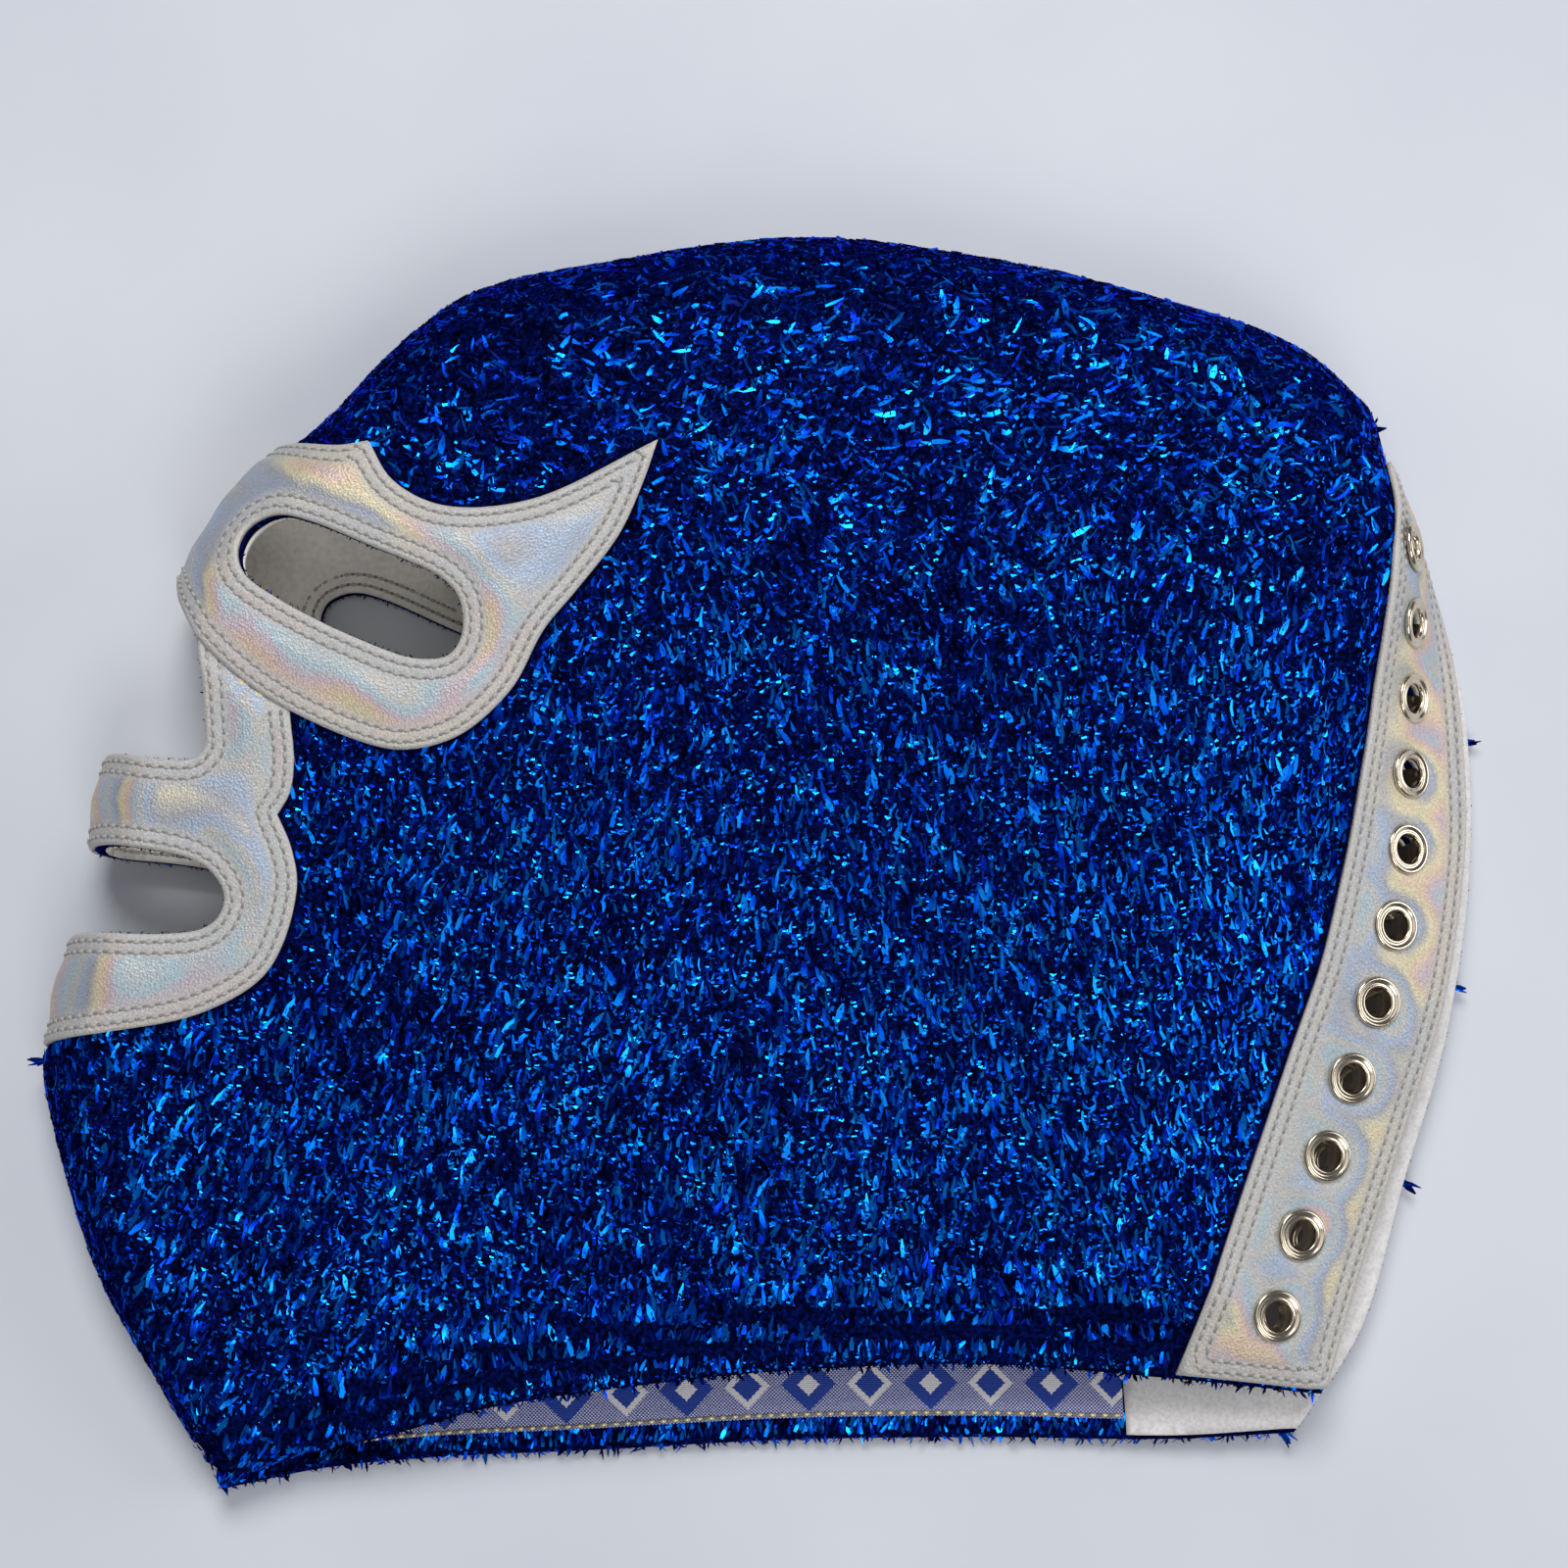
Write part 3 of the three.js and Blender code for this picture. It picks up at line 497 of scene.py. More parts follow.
def cutCloth(half, loops, keep, spacing, extra=None):
    # Triangles of the laid-out face inside the rim and where keep says, cut along the loops
    psi = rimTurns(half, min(spacing, 2.0))
    rim = toFlat(half, np.column_stack([psi, 0 * psi]))
    loops = [rim] + loops
    edges, points = [], []
    for loop in loops:
        first = len(points)
        n = len(loop)
        edges += [(first + i, first + (i + 1) % n) for i in range(n)]
        points += list(loop)
    fixed = np.array(points)
    low, high = rim.min(axis=0), rim.max(axis=0)
    xs = np.arange(low[0], high[0], spacing)
    ys = np.arange(low[1], high[1], spacing * 0.866)
    grid = np.array([(x + (j % 2) * spacing / 2, y) for j, y in enumerate(ys) for x in xs])
    if extra is not None:
        grid = grid[distanceTo(grid, extra, extra) > 0.5 * spacing]
        grid = np.vstack([grid, extra])
    grid = grid[within(grid, rim)]
    grid = grid[keep(grid)]
    ends = fixed[[b for a, b in edges]]
    grid = grid[distanceTo(grid, fixed, ends) > 0.35 * min(spacing, 1.4)]
    everything = np.vstack([fixed, grid])
    made = delaunay_2d_cdt([Vector(p) for p in everything], edges, [], 0, 1e-5, True)
    flat = np.array([v[:] for v in made[0]])
    faces = np.array([f for f in made[2] if len(f) == 3])
    middle = flat[faces].mean(axis=1)
    faces = faces[within(middle, rim)]
    middle = flat[faces].mean(axis=1)
    faces = faces[keep(middle)]
    used, faces = np.unique(faces, return_inverse=True)
    flat, faces = flat[used], faces.reshape(-1, 3)
    a, b, c = (flat[faces[:, i]] for i in range(3))
    turn = np.cross(b - a, c - a)
    faces[turn < 0] = faces[turn < 0][:, [0, 2, 1]]
    return flat, faces


def borderOf(faces):
    # Directed edges with one face only, the face on their left
    sides = np.concatenate([faces[:, [0, 1]], faces[:, [1, 2]], faces[:, [2, 0]]])
    count = int(faces.max()) + 1
    code = sides[:, 0] * count + sides[:, 1]
    back = sides[:, 1] * count + sides[:, 0]
    return sides[~np.isin(code, back)]


def chainsOf(border):
    following = {int(a): int(b) for a, b in border}
    starts = [a for a in following if a not in set(following.values())]
    chains = []
    while following:
        start = starts.pop() if starts else next(iter(following))
        if start not in following:
            continue
        chain = [start]
        while chain[-1] in following:
            chain.append(following.pop(chain[-1]))
        chains.append(chain)
    return chains


def cloth(half, loops, keep, spacing, outside, inside, rows=(), weld=True, quiet=None, shut=False):
    # A closed sheet between two offsets from the face. outside may be a function of the
    # distance to its own edge and of the flat place. rows are widths of extra points by the edge,
    # quiet says where an edge is neither stitched nor counted, and shut closes the fold too.
    flat, faces = cutCloth(half, loops, keep, spacing)

    def ownBorder(flat, faces):
        border = borderOf(faces)
        polar = fromFlat(half, flat)
        folded = (np.abs(polar[:, 1]) < 0.05) & (polar[:, 0] < foldEnd + 1e-4)
        if weld:
            border = border[~(folded[border[:, 0]] & folded[border[:, 1]])]
        return border

    def stitched(border, flat):
        return border[~quiet((flat[border[:, 0]] + flat[border[:, 1]]) / 2)] if quiet else border

    if rows:
        border = stitched(ownBorder(flat, faces), flat)
        extra = []
        for chain in chainsOf(border):
            line = flat[chain]
            for width in rows:
                extra.append(insetLine(line, width, border, flat, 1.5))
        flat, faces = cutCloth(half, loops, keep, spacing, np.vstack(extra))
    border = ownBorder(flat, faces)
    sewn = stitched(border, flat)
    edge = distanceTo(flat, flat[sewn[:, 0]], flat[sewn[:, 1]])
    polar = fromFlat(half, flat)
    place, normal = onFace(half, polar[:, 0], np.maximum(polar[:, 1], 0))
    high = outside(edge, flat) if callable(outside) else np.full(len(flat), outside)
    low = inside(edge, flat) if callable(inside) else np.full(len(flat), inside)
    n = len(flat)
    verts = np.vstack([place + normal * high[:, None], place + normal * low[:, None]])
    top = faces if half["sign"] > 0 else faces[:, ::-1]
    walls = []
    for a, b in borderOf(faces) if shut else border:
        quad = [(a, a + n, b + n), (a, b + n, b)]
        walls += quad if half["sign"] > 0 else [t[::-1] for t in quad]
    allFaces = np.vstack([top, top[:, ::-1] + n, np.array(walls).reshape(-1, 3)])
    side = np.concatenate([np.ones(n), np.zeros(n)])
    return {
        "half": half, "verts": verts, "faces": allFaces, "flat": np.vstack([flat, flat]),
        "edge": np.concatenate([edge, edge]), "side": side, "border": border, "sewn": sewn, "layer": n,
        "faceNormal": np.vstack([normal, normal]),
    }


def resample(line, pitch):
    walked = np.concatenate([[0], np.cumsum(np.hypot(*np.diff(line, axis=0).T))])
    n = max(int(round(walked[-1] / pitch)), 1)
    at = (np.arange(n) + 0.5) / n * walked[-1]
    return np.column_stack([np.interp(at, walked, line[:, k]) for k in range(2)])


def insetLine(line, width, border, flat, pitch):
    # Points at a width in from an edge line, those too near another stretch of edge left out
    tangent = np.gradient(line, axis=0)
    tangent /= np.maximum(np.hypot(*tangent.T), 1e-9)[:, None]
    moved = line + np.column_stack([-tangent[:, 1], tangent[:, 0]]) * width
    d = distanceTo(moved, flat[border[:, 0]], flat[border[:, 1]])
    moved = moved[d > 0.95 * width]
    return resample(moved, pitch) if len(moved) > 1 else moved


def joined(parts):
    # Several sheets as one mesh's data
    out = {k: [] for k in ("verts", "faces", "flat", "edge", "side", "faceNormal")}
    first = 0
    for part in parts:
        for k in out:
            out[k].append(part[k] + first if k == "faces" else part[k])
        first += len(part["verts"])
    return {k: np.concatenate(v) for k, v in out.items()}


def makePiece(name, sheet, material, attributes=(), weldFold=False, smooth=True):
    mesh = bpy.data.meshes.new(name)
    verts = (sheet["verts"] + shift) * 0.001
    mesh.from_pydata([tuple(v) for v in verts], [], [tuple(int(i) for i in f) for f in sheet["faces"]])
    values = {"edge": sheet["edge"], "side": sheet["side"]}
    values.update(dict(attributes))
    for key, data in values.items():
        kind = "FLOAT_VECTOR" if np.ndim(data) == 2 else "FLOAT"
        layer = mesh.attributes.new(key, kind, "POINT")
        layer.data.foreach_set("vector" if kind == "FLOAT_VECTOR" else "value",
                               np.asarray(data, np.float32).ravel())
    layout = mesh.uv_layers.new(name="flat")
    loops = np.zeros(len(mesh.loops), np.int32)
    mesh.loops.foreach_get("vertex_index", loops)
    layout.data.foreach_set("uv", (sheet["flat"][loops] * 0.01).astype(np.float32).ravel())
    obj = bpy.data.objects.new(name, mesh)
    bpy.context.scene.collection.objects.link(obj)
    if weldFold:
        work = bmesh.new()
        work.from_mesh(mesh)
        bmesh.ops.remove_doubles(work, verts=work.verts, dist=0.00002)
        work.to_mesh(mesh)
        work.free()
    mesh.polygons.foreach_set("use_smooth", [smooth] * len(mesh.polygons))
    mesh.materials.append(material)
    return obj


# Shader helpers
def treeNode(tree, kind, links=None, **settings):
    node = tree.nodes.new(kind)
    for key, value in settings.items():
        setattr(node, key, value)
    for key, value in (links or {}).items():
        socket = node.inputs[key]
        if isinstance(value, bpy.types.NodeSocket):
            tree.links.new(value, socket)
        else:
            socket.default_value = value
    return node


def newMaterial(name):
    material = bpy.data.materials.new(name)
    material.use_nodes = True
    tree = material.node_tree
    tree.nodes.clear()
    output = tree.nodes.new("ShaderNodeOutputMaterial")
    shader = tree.nodes.new("ShaderNodeBsdfPrincipled")
    tree.links.new(shader.outputs["BSDF"], output.inputs["Surface"])
    return material, tree, shader


def setSockets(shader, **values):
    for key, value in values.items():
        shader.inputs[key.replace("_", " ")].default_value = value


def attribute(tree, name, output="Fac"):
    return treeNode(tree, "ShaderNodeAttribute", attribute_name=name).outputs[output]


def maths(tree, operation, a, b=0.0, c=0.0, clamp=False):
    node = treeNode(tree, "ShaderNodeMath", {0: a, 1: b, 2: c}, operation=operation, use_clamp=clamp)
    return node.outputs[0]


def ramp(tree, value, stops, interpolation="LINEAR"):
    node = treeNode(tree, "ShaderNodeValToRGB", {"Fac": value})
    node.color_ramp.interpolation = interpolation
    elements = node.color_ramp.elements
    while len(elements) > 1:
        elements.remove(elements[-1])
    elements[0].position, elements[0].color = stops[0][0], (*stops[0][1], 1)
    for position, color in stops[1:]:
        elements.new(position).color = (*color, 1)
    return node.outputs["Color"]


def srgb(r, g, b):
    def linear(c):
        c /= 255
        return c / 12.92 if c <= 0.04045 else ((c + 0.055) / 1.055) ** 2.4
    return linear(r), linear(g), linear(b)


def mixColors(tree, factor, a, b, blend="MIX"):
    node = treeNode(tree, "ShaderNodeMix", data_type="RGBA", blend_type=blend)
    for socket, value in ((0, factor), (6, a), (7, b)):
        if isinstance(value, bpy.types.NodeSocket):
            tree.links.new(value, node.inputs[socket])
        elif socket == 0:
            node.inputs[0].default_value = value
        else:
            node.inputs[socket].default_value = (*value, 1)
    return node.outputs[2]


# The knit's woven base, nearly black
knitLook = {"dark": srgb(3, 6, 30), "light": srgb(6, 20, 92), "loop": 1100.0}
knitMaterial, tree, shader = newMaterial("tinsel_knit_base")
coords = treeNode(tree, "ShaderNodeTexCoord").outputs["Object"]
speckle = treeNode(tree, "ShaderNodeTexNoise", {"Vector": coords, "Scale": knitLook["loop"], "Detail": 2.0})
tone = ramp(tree, speckle.outputs["Fac"], [(0.42, knitLook["dark"]), (0.68, knitLook["light"])])
tree.links.new(tone, shader.inputs["Base Color"])
setSockets(shader, Roughness=0.7, Specular_IOR_Level=0.0)
bump = treeNode(tree, "ShaderNodeBump", {"Height": speckle.outputs["Fac"], "Strength": 0.6,
    "Distance": 0.0006})
tree.links.new(bump.outputs["Normal"], shader.inputs["Normal"])

# The shining fibres. tone is each fibre's own number from 0 to 1; its spread from navy to azure is partly the
# fibres' own blue and partly painted glint, and the patch and clump noise add painted glints that gather in
# lighter patches.
fibreLook = {
    "stops": [
        (0.00, srgb(4, 8, 42)), (0.34, srgb(3, 14, 82)), (0.49, srgb(3, 36, 164)),
        (0.65, srgb(3, 78, 224)), (0.84, srgb(6, 108, 246)), (1.00, srgb(18, 140, 255)),
    ],
    "crownShade": (-0.01, 0.10, 0.10, -0.10), "back": (0.0, 0.06, 0.0, 0.09), "metal": 0.9,
    "patch": 40.0, "litPatchDepth": 0.6, "glintClump": 230.0, "glintClumpDepth": 1.0, "tint": (0.01, 0.25, 1.0),
    "roughness": 0.25,
}
fibreMaterial, tree, shader = newMaterial("tinsel_fibre")
coords = treeNode(tree, "ShaderNodeTexCoord").outputs["Object"]
# Painted glints: large patches and small clumps of noise make the fibres lighter or darker
patch = treeNode(tree, "ShaderNodeTexNoise", {"Vector": coords, "Scale": fibreLook["patch"], "Detail": 2.0})
glintClump = treeNode(tree, "ShaderNodeTexNoise", {"Vector": coords, "Scale": fibreLook["glintClump"], "Detail": 0.0})
paintedLightShift = maths(tree, "MULTIPLY", maths(tree, "SUBTRACT", patch.outputs["Fac"], 0.5), fibreLook["litPatchDepth"])
paintedLightShift = maths(tree, "MULTIPLY_ADD", maths(tree, "SUBTRACT", glintClump.outputs["Fac"], 0.5),
    fibreLook["glintClumpDepth"], paintedLightShift)
# Painted shade darkens the fibres towards the crown and painted light brightens them towards the back, for
# how the pile meets the light
where = treeNode(tree, "ShaderNodeSeparateXYZ", {0: coords})
for key, axis in (("crownShade", "Y"), ("back", "X")):
    keys = dict(zip(("From Min", "From Max", "To Min", "To Max"), fibreLook[key]))
    graded = treeNode(tree, "ShaderNodeMapRange", {"Value": where.outputs[axis], **keys})
    paintedLightShift = maths(tree, "ADD", paintedLightShift, graded.outputs["Result"])
tone = maths(tree, "ADD", attribute(tree, "tone"), paintedLightShift, clamp=True)
tree.links.new(ramp(tree, tone, fibreLook["stops"]), shader.inputs["Base Color"])
setSockets(shader, Roughness=fibreLook["roughness"], Metallic=fibreLook["metal"], Specular_IOR_Level=0.1,
           Specular_Tint=(*fibreLook["tint"], 1))

# Cream lining
liningLook = {"color": srgb(252, 249, 242), "shade": srgb(238, 232, 222), "weave": 900.0}
liningMaterial, tree, shader = newMaterial("lining_cream")
coords = treeNode(tree, "ShaderNodeTexCoord").outputs["Object"]
weave = treeNode(tree, "ShaderNodeTexNoise", {"Vector": coords, "Scale": liningLook["weave"], "Detail": 3.0})
tree.links.new(ramp(tree, weave.outputs["Fac"], [(0.3, liningLook["shade"]), (0.6, liningLook["color"])]),
               shader.inputs["Base Color"])
setSockets(shader, Roughness=0.85)
bump = treeNode(tree, "ShaderNodeBump", {"Height": weave.outputs["Fac"], "Strength": 0.25,
    "Distance": 0.0003})
tree.links.new(bump.outputs["Normal"], shader.inputs["Normal"])

# White facing cloth, finely woven
facingLook = {"color": srgb(240, 237, 235), "shade": srgb(224, 220, 218), "weave": 1400.0}
facingMaterial, tree, shader = newMaterial("facing_white")
coords = treeNode(tree, "ShaderNodeTexCoord").outputs["Object"]
weave = treeNode(tree, "ShaderNodeTexNoise", {"Vector": coords, "Scale": facingLook["weave"], "Detail": 2.0})
tree.links.new(ramp(tree, weave.outputs["Fac"], [(0.35, facingLook["shade"]), (0.6, facingLook["color"])]),
               shader.inputs["Base Color"])
setSockets(shader, Roughness=0.85)
bump = treeNode(tree, "ShaderNodeBump", {"Height": weave.outputs["Fac"], "Strength": 0.3, "Distance": 0.0003})
tree.links.new(bump.outputs["Normal"], shader.inputs["Normal"])

# Silver vinyl: rainbow bands of painted iridescent sheen that run with the folds, the edge and the eyelets,
# set by the surface's direction in place of the view and the light; the darker lavender-grey band is painted
# shade for the eye wing. edge is the distance in millimetres to the piece's own edge, halo the distance to
# the nearest eyelet.
vinylLook = {
    "silver": srgb(196, 194, 189),
    "margin": srgb(202, 199, 195),
    "paintedSheen": [
        (0.00, srgb(196, 192, 186)), (0.14, srgb(156, 180, 214)), (0.28, srgb(160, 162, 176)),
        (0.43, srgb(232, 220, 172)), (0.57, srgb(232, 196, 162)), (0.70, srgb(206, 178, 190)),
        (0.85, srgb(164, 196, 212)), (1.00, srgb(196, 192, 186)),
    ],
    "strength": 0.66, "towards": (0.95, 0.3, 0.1), "turns": 1.5, "drift": 2.0, "driftScale": 24.0,
    "start": 0.6,
    "edgeTurns": 0.022, "haloTurns": 0.07, "grain": 2100.0, "cutEdge": srgb(214, 208, 200),
}
vinylMaterial, tree, shader = newMaterial("vinyl_silver")
coords = treeNode(tree, "ShaderNodeTexCoord").outputs["Object"]
normal = treeNode(tree, "ShaderNodeNewGeometry").outputs["Normal"]
slow = treeNode(tree, "ShaderNodeTexNoise", {
    "Vector": coords, "Scale": vinylLook["driftScale"], "Detail": 1.0}).outputs["Fac"]
# Painted sheen: the bands follow the surface's direction, in place of the angle to the view and the light
facingWay = treeNode(tree, "ShaderNodeVectorMath", {0: normal, 1: vinylLook["towards"]},
    operation="DOT_PRODUCT")
sheenBands = maths(tree, "MULTIPLY_ADD", facingWay.outputs["Value"], vinylLook["turns"], vinylLook["start"])
sheenBands = maths(tree, "MULTIPLY_ADD", slow, vinylLook["drift"], sheenBands)
sheenBands = maths(tree, "MULTIPLY_ADD", attribute(tree, "edge"), vinylLook["edgeTurns"], sheenBands)
sheenBands = maths(tree, "MULTIPLY_ADD", attribute(tree, "halo"), vinylLook["haloTurns"], sheenBands)
paintedSheen = ramp(tree, maths(tree, "FRACT", sheenBands), vinylLook["paintedSheen"])
fine1 = treeNode(tree, "ShaderNodeTexNoise", {"Vector": coords, "Scale": 2600.0,
    "Detail": 1.0}).outputs["Fac"]
body = treeNode(tree, "ShaderNodeMapRange", {
    "Value": attribute(tree, "edge"), "From Min": 3.2, "From Max": 6.0, "To Min": 0.22, "To Max": 1.0},
    interpolation_type="SMOOTHSTEP").outputs["Result"]
color = mixColors(tree, body, vinylLook["margin"], vinylLook["silver"])
color = mixColors(tree, maths(tree, "MULTIPLY", body, vinylLook["strength"]), color, paintedSheen)
sparkle = ramp(tree, fine1, [(0.3, (0.80, 0.80, 0.80)), (0.7, (1.14, 1.14, 1.14))])
color = mixColors(tree, 1.0, color, sparkle, "MULTIPLY")
cutEdge = treeNode(tree, "ShaderNodeMapRange", {"Value": attribute(tree, "edge"), "From Min": 0.0,
                                                "From Max": 0.5, "To Min": 0.8, "To Max": 0.0})
color = mixColors(tree, cutEdge.outputs["Result"], color, vinylLook["cutEdge"])
tree.links.new(color, shader.inputs["Base Color"])
tree.links.new(treeNode(tree, "ShaderNodeMapRange", {
    "Value": body, "From Min": 0.22, "From Max": 1.0, "To Min": 0.62, "To Max": 0.48}).outputs["Result"],
    shader.inputs["Roughness"])
tree.links.new(maths(tree, "MULTIPLY_ADD", body, 0.2, 0.1), shader.inputs["Metallic"])
grain = treeNode(tree, "ShaderNodeTexVoronoi", {"Vector": coords, "Scale": vinylLook["grain"]})
bump = treeNode(tree, "ShaderNodeBump", {"Height": grain.outputs["Distance"], "Strength": 0.55,
    "Distance": 0.0002})


def stitchGrooves(tree, centres, width):
    # 1 along the stitched lines, falling to 0 beside them
    total = 0.0
    for centre in centres:
        off = maths(tree, "MULTIPLY", maths(tree, "SUBTRACT", attribute(tree, "edge"), centre), 1 / width)
        line = maths(tree, "EXPONENT", maths(tree, "MULTIPLY", maths(tree, "MULTIPLY", off, off), -1.0))
        total = maths(tree, "ADD", total, line)
    return total


groove = maths(tree, "MULTIPLY", stitchGrooves(tree, (1.5, 3.6), 0.5), -1.0)
bump2 = treeNode(tree, "ShaderNodeBump", {"Height": groove, "Strength": 0.25, "Distance": 0.0004,
                                          "Normal": bump.outputs["Normal"]})
tree.links.new(bump2.outputs["Normal"], shader.inputs["Normal"])

# Thread and nickel
threadMaterial, tree, shader = newMaterial("thread_grey")
setSockets(shader, Base_Color=(*srgb(184, 181, 177), 1), Roughness=0.6)
nickelMaterial, tree, shader = newMaterial("nickel_plate")
setSockets(shader, Base_Color=(*srgb(214, 200, 178), 1), Roughness=0.2, Metallic=1.0)
print("materials made")

# Shells
shellLook = {"spacing": 3.2, "grooves": (9.0, 4.6), "grooveDepth": 1.5, "grooveWidth": 1.2, "wall": 2.0}
flatOf = {id(half): {name: toFlat(half, polar) for name, polar in drawn.items()} for half in (upper, lower)}
holeNames = ("eyeHole", "noseHole", "mouthHole")


def hemWidth(half, flat):
    # Distance to the hem over the face
    stations = np.linspace(half["backEnd"], half["spans"], 160)
    psi = half["turnOf"](stations)
    psi[-1] = 2 * math.pi - 1e-6
    line = toFlat(half, np.column_stack([psi, 0 * psi]))
    return distanceTo(flat, line[:-1], line[1:])


def hemRipple(half, flat):
    d = hemWidth(half, flat)
    return -sum(shellLook["grooveDepth"] * np.exp(-((d - g) / shellLook["grooveWidth"]) ** 2)
                for g in shellLook["grooves"])


def openHere(half):
    holes = [flatOf[id(half)][name] for name in holeNames]
    return lambda p: ~np.any([within(p, hole) for hole in holes], axis=0)


# Eyelets: place and axis of each from the frame, in millimetres before the shift
eyeletLook = {
    "profile": [
        (2.8, -3.7), (3.4, -3.95), (4.2, -3.9), (4.3, -3.65), (3.2, -3.5), (3.2, 1.0), (4.75, 0.9),
        (4.98, 1.15), (4.98, 1.5), (4.8, 1.85), (4.5, 2.02), (4.2, 1.95), (3.9, 1.72), (3.6, 1.62),
        (3.35, 1.72), (3.1, 1.78), (2.92, 1.62), (2.82, 1.25), (2.78, 0.6), (2.8, -3.7),
    ],
    "sides": 40,
    "top": 3.0,
    "clear": 2.95,
}


def seatOf(node):
    points = np.array([v.co[:] for v in frame["nodes"][node].data.vertices]) * 1000
    points = np.unique(points.round(3), axis=0)
    middle = points.mean(axis=0)
    axis = np.linalg.eigh(np.cov((points - middle).T))[1][:, -1]
    height = (points - middle) @ axis
    radius = np.linalg.norm(points - middle - height[:, None] * axis, axis=1)
    if height[radius.argmax()] < 0:
        axis, height = -axis, -height
    return middle + axis * (height.max() - eyeletLook["top"]) - shift, axis


seats = {half["sign"]: [] for half in (upper, lower)}
for half, word in ((upper, "left"), (lower, "right")):
    for k in range(1, 12):
        node = f"eyelet_{word}_{k:02d}"
        place, axis = seatOf(node)
        seats[half["sign"]].append(place)
        turns = np.linspace(0, 2 * math.pi, eyeletLook["sides"], endpoint=False)
        side1 = np.cross(axis, [0, 1, 0])
        side1 /= np.linalg.norm(side1)
        side2 = np.cross(axis, side1)
        rings = [place + axis * h + r * (np.cos(turns)[:, None] * side1 + np.sin(turns)[:, None] * side2)
                 for r, h in eyeletLook["profile"][:-1]]
        n = eyeletLook["sides"]
        verts = np.vstack(rings)
        faces = []
        for j in range(len(rings)):
            for i in range(n):
                a, b = j * n + i, j * n + (i + 1) % n
                c, d = (j + 1) % len(rings) * n + (i + 1) % n, (j + 1) % len(rings) * n + i
                faces += [(a, b, c), (a, c, d)]
        blank = np.zeros(len(verts))
        ring = {"verts": verts, "faces": np.array(faces), "flat": np.zeros((len(verts), 2)),
                "edge": blank, "side": blank}
        obj = makePiece(f"eyelet_ring_{word}_{k:02d}", ring, nickelMaterial)
        work = bmesh.new()
        work.from_mesh(obj.data)
        bmesh.ops.recalc_face_normals(work, faces=work.faces)
        work.to_mesh(obj.data)
        work.free()
        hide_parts(node)
seatFlats = {}
for half in (upper, lower):
    plan = np.array([place[:2] for place in seats[half["sign"]]])
    seatFlats[half["sign"]] = toFlat(half, toPolar(half, plan))


def circle(centre, radius, count=24):
    turns = np.linspace(0, 2 * math.pi, count, endpoint=False)
    return centre + radius * np.column_stack([np.cos(turns), np.sin(turns)])


def boreLoops(half):
    return [circle(c, eyeletLook["clear"]) for c in seatFlats[half["sign"]]]


def toSeat(half, p):
    return np.min([np.hypot(*(p - c).T) for c in seatFlats[half["sign"]]], axis=0)


def offBores(half):
    return lambda p: toSeat(half, p) > eyeletLook["clear"] - 0.01


def onBores(half):
    return lambda p: toSeat(half, p) < eyeletLook["clear"] + 0.3


def makeShell(half):
    holes = [flatOf[id(half)][hole] for hole in holeNames]
    opened, clear = openHere(half), offBores(half)
    return cloth(half, holes + boreLoops(half), lambda p: opened(p) & clear(p), shellLook["spacing"],
                 lambda edge, flat: hemRipple(half, flat) - 0.3, -shellLook["wall"], quiet=onBores(half),
                 shut=True)


shellSheets = {half["sign"]: makeShell(half) for half in (upper, lower)}
shellNear = makePiece("knit_left", shellSheets[1], knitMaterial)
shellFar = makePiece("knit_right", shellSheets[-1], knitMaterial)
for piece, node in ((shellNear, "shell_left"), (shellFar, "shell_right")):
    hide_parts(node)
print("shells made")


# Strips along the back edge and the hem
def backLoop(half, width):
    start = half["backStart"] + strips["placketTop"]
    return bandLoop(half, start, half["backEnd"] - 0.03, width, -12, 0, 15)


def bareWidth(half, more=0.0):
    # The lacing strip's width as it shows
    return lambda stations: np.interp(stations - half["backStart"], *placketBare) + more


# Where the far half's facing ends on the left, from above the hem to past it
facedEnd = ((70.5, -97.0), (71.8, -128.0))


def facedLoop(half, more=0.0):
    # The facing's outline, wider at the far half's lower end
    if half["sign"] > 0:
        return backLoop(half, strips["placket"] + more)
    start, end = half["backStart"] + strips["placketTop"], half["backEnd"]
    rim = straightOn(besideRim(half, np.linspace(start, end - 0.03, 110), -12), 0, 15)
    stations = np.linspace(start, end - 0.5, 100)
    widths = strips["placket"] + more + 7.5 * smoothStep(stations - half["backStart"], 4.5, 7.0)
    front = np.vstack([besideRim(half, stations, widths), np.array(facedEnd) - (more, 0)])
    return np.vstack([rim, front[::-1]])


def hemLoop(half, inner, outer, stop, past):
    return bandLoop(half, half["backEnd"] + 0.03, half["spans"] - 0.03 - stop, inner, outer, past, past)


# Vinyl trims
trimLook = {
    "thick": 1.2, "under": -0.1, "edgeDrop": 0.35, "rows": (1.5, 3.6), "grooveDepth": 0.12,
    "puff": 0.5, "ripple": 0.3, "spacing": 2.4, "tuck": 0.8,
}


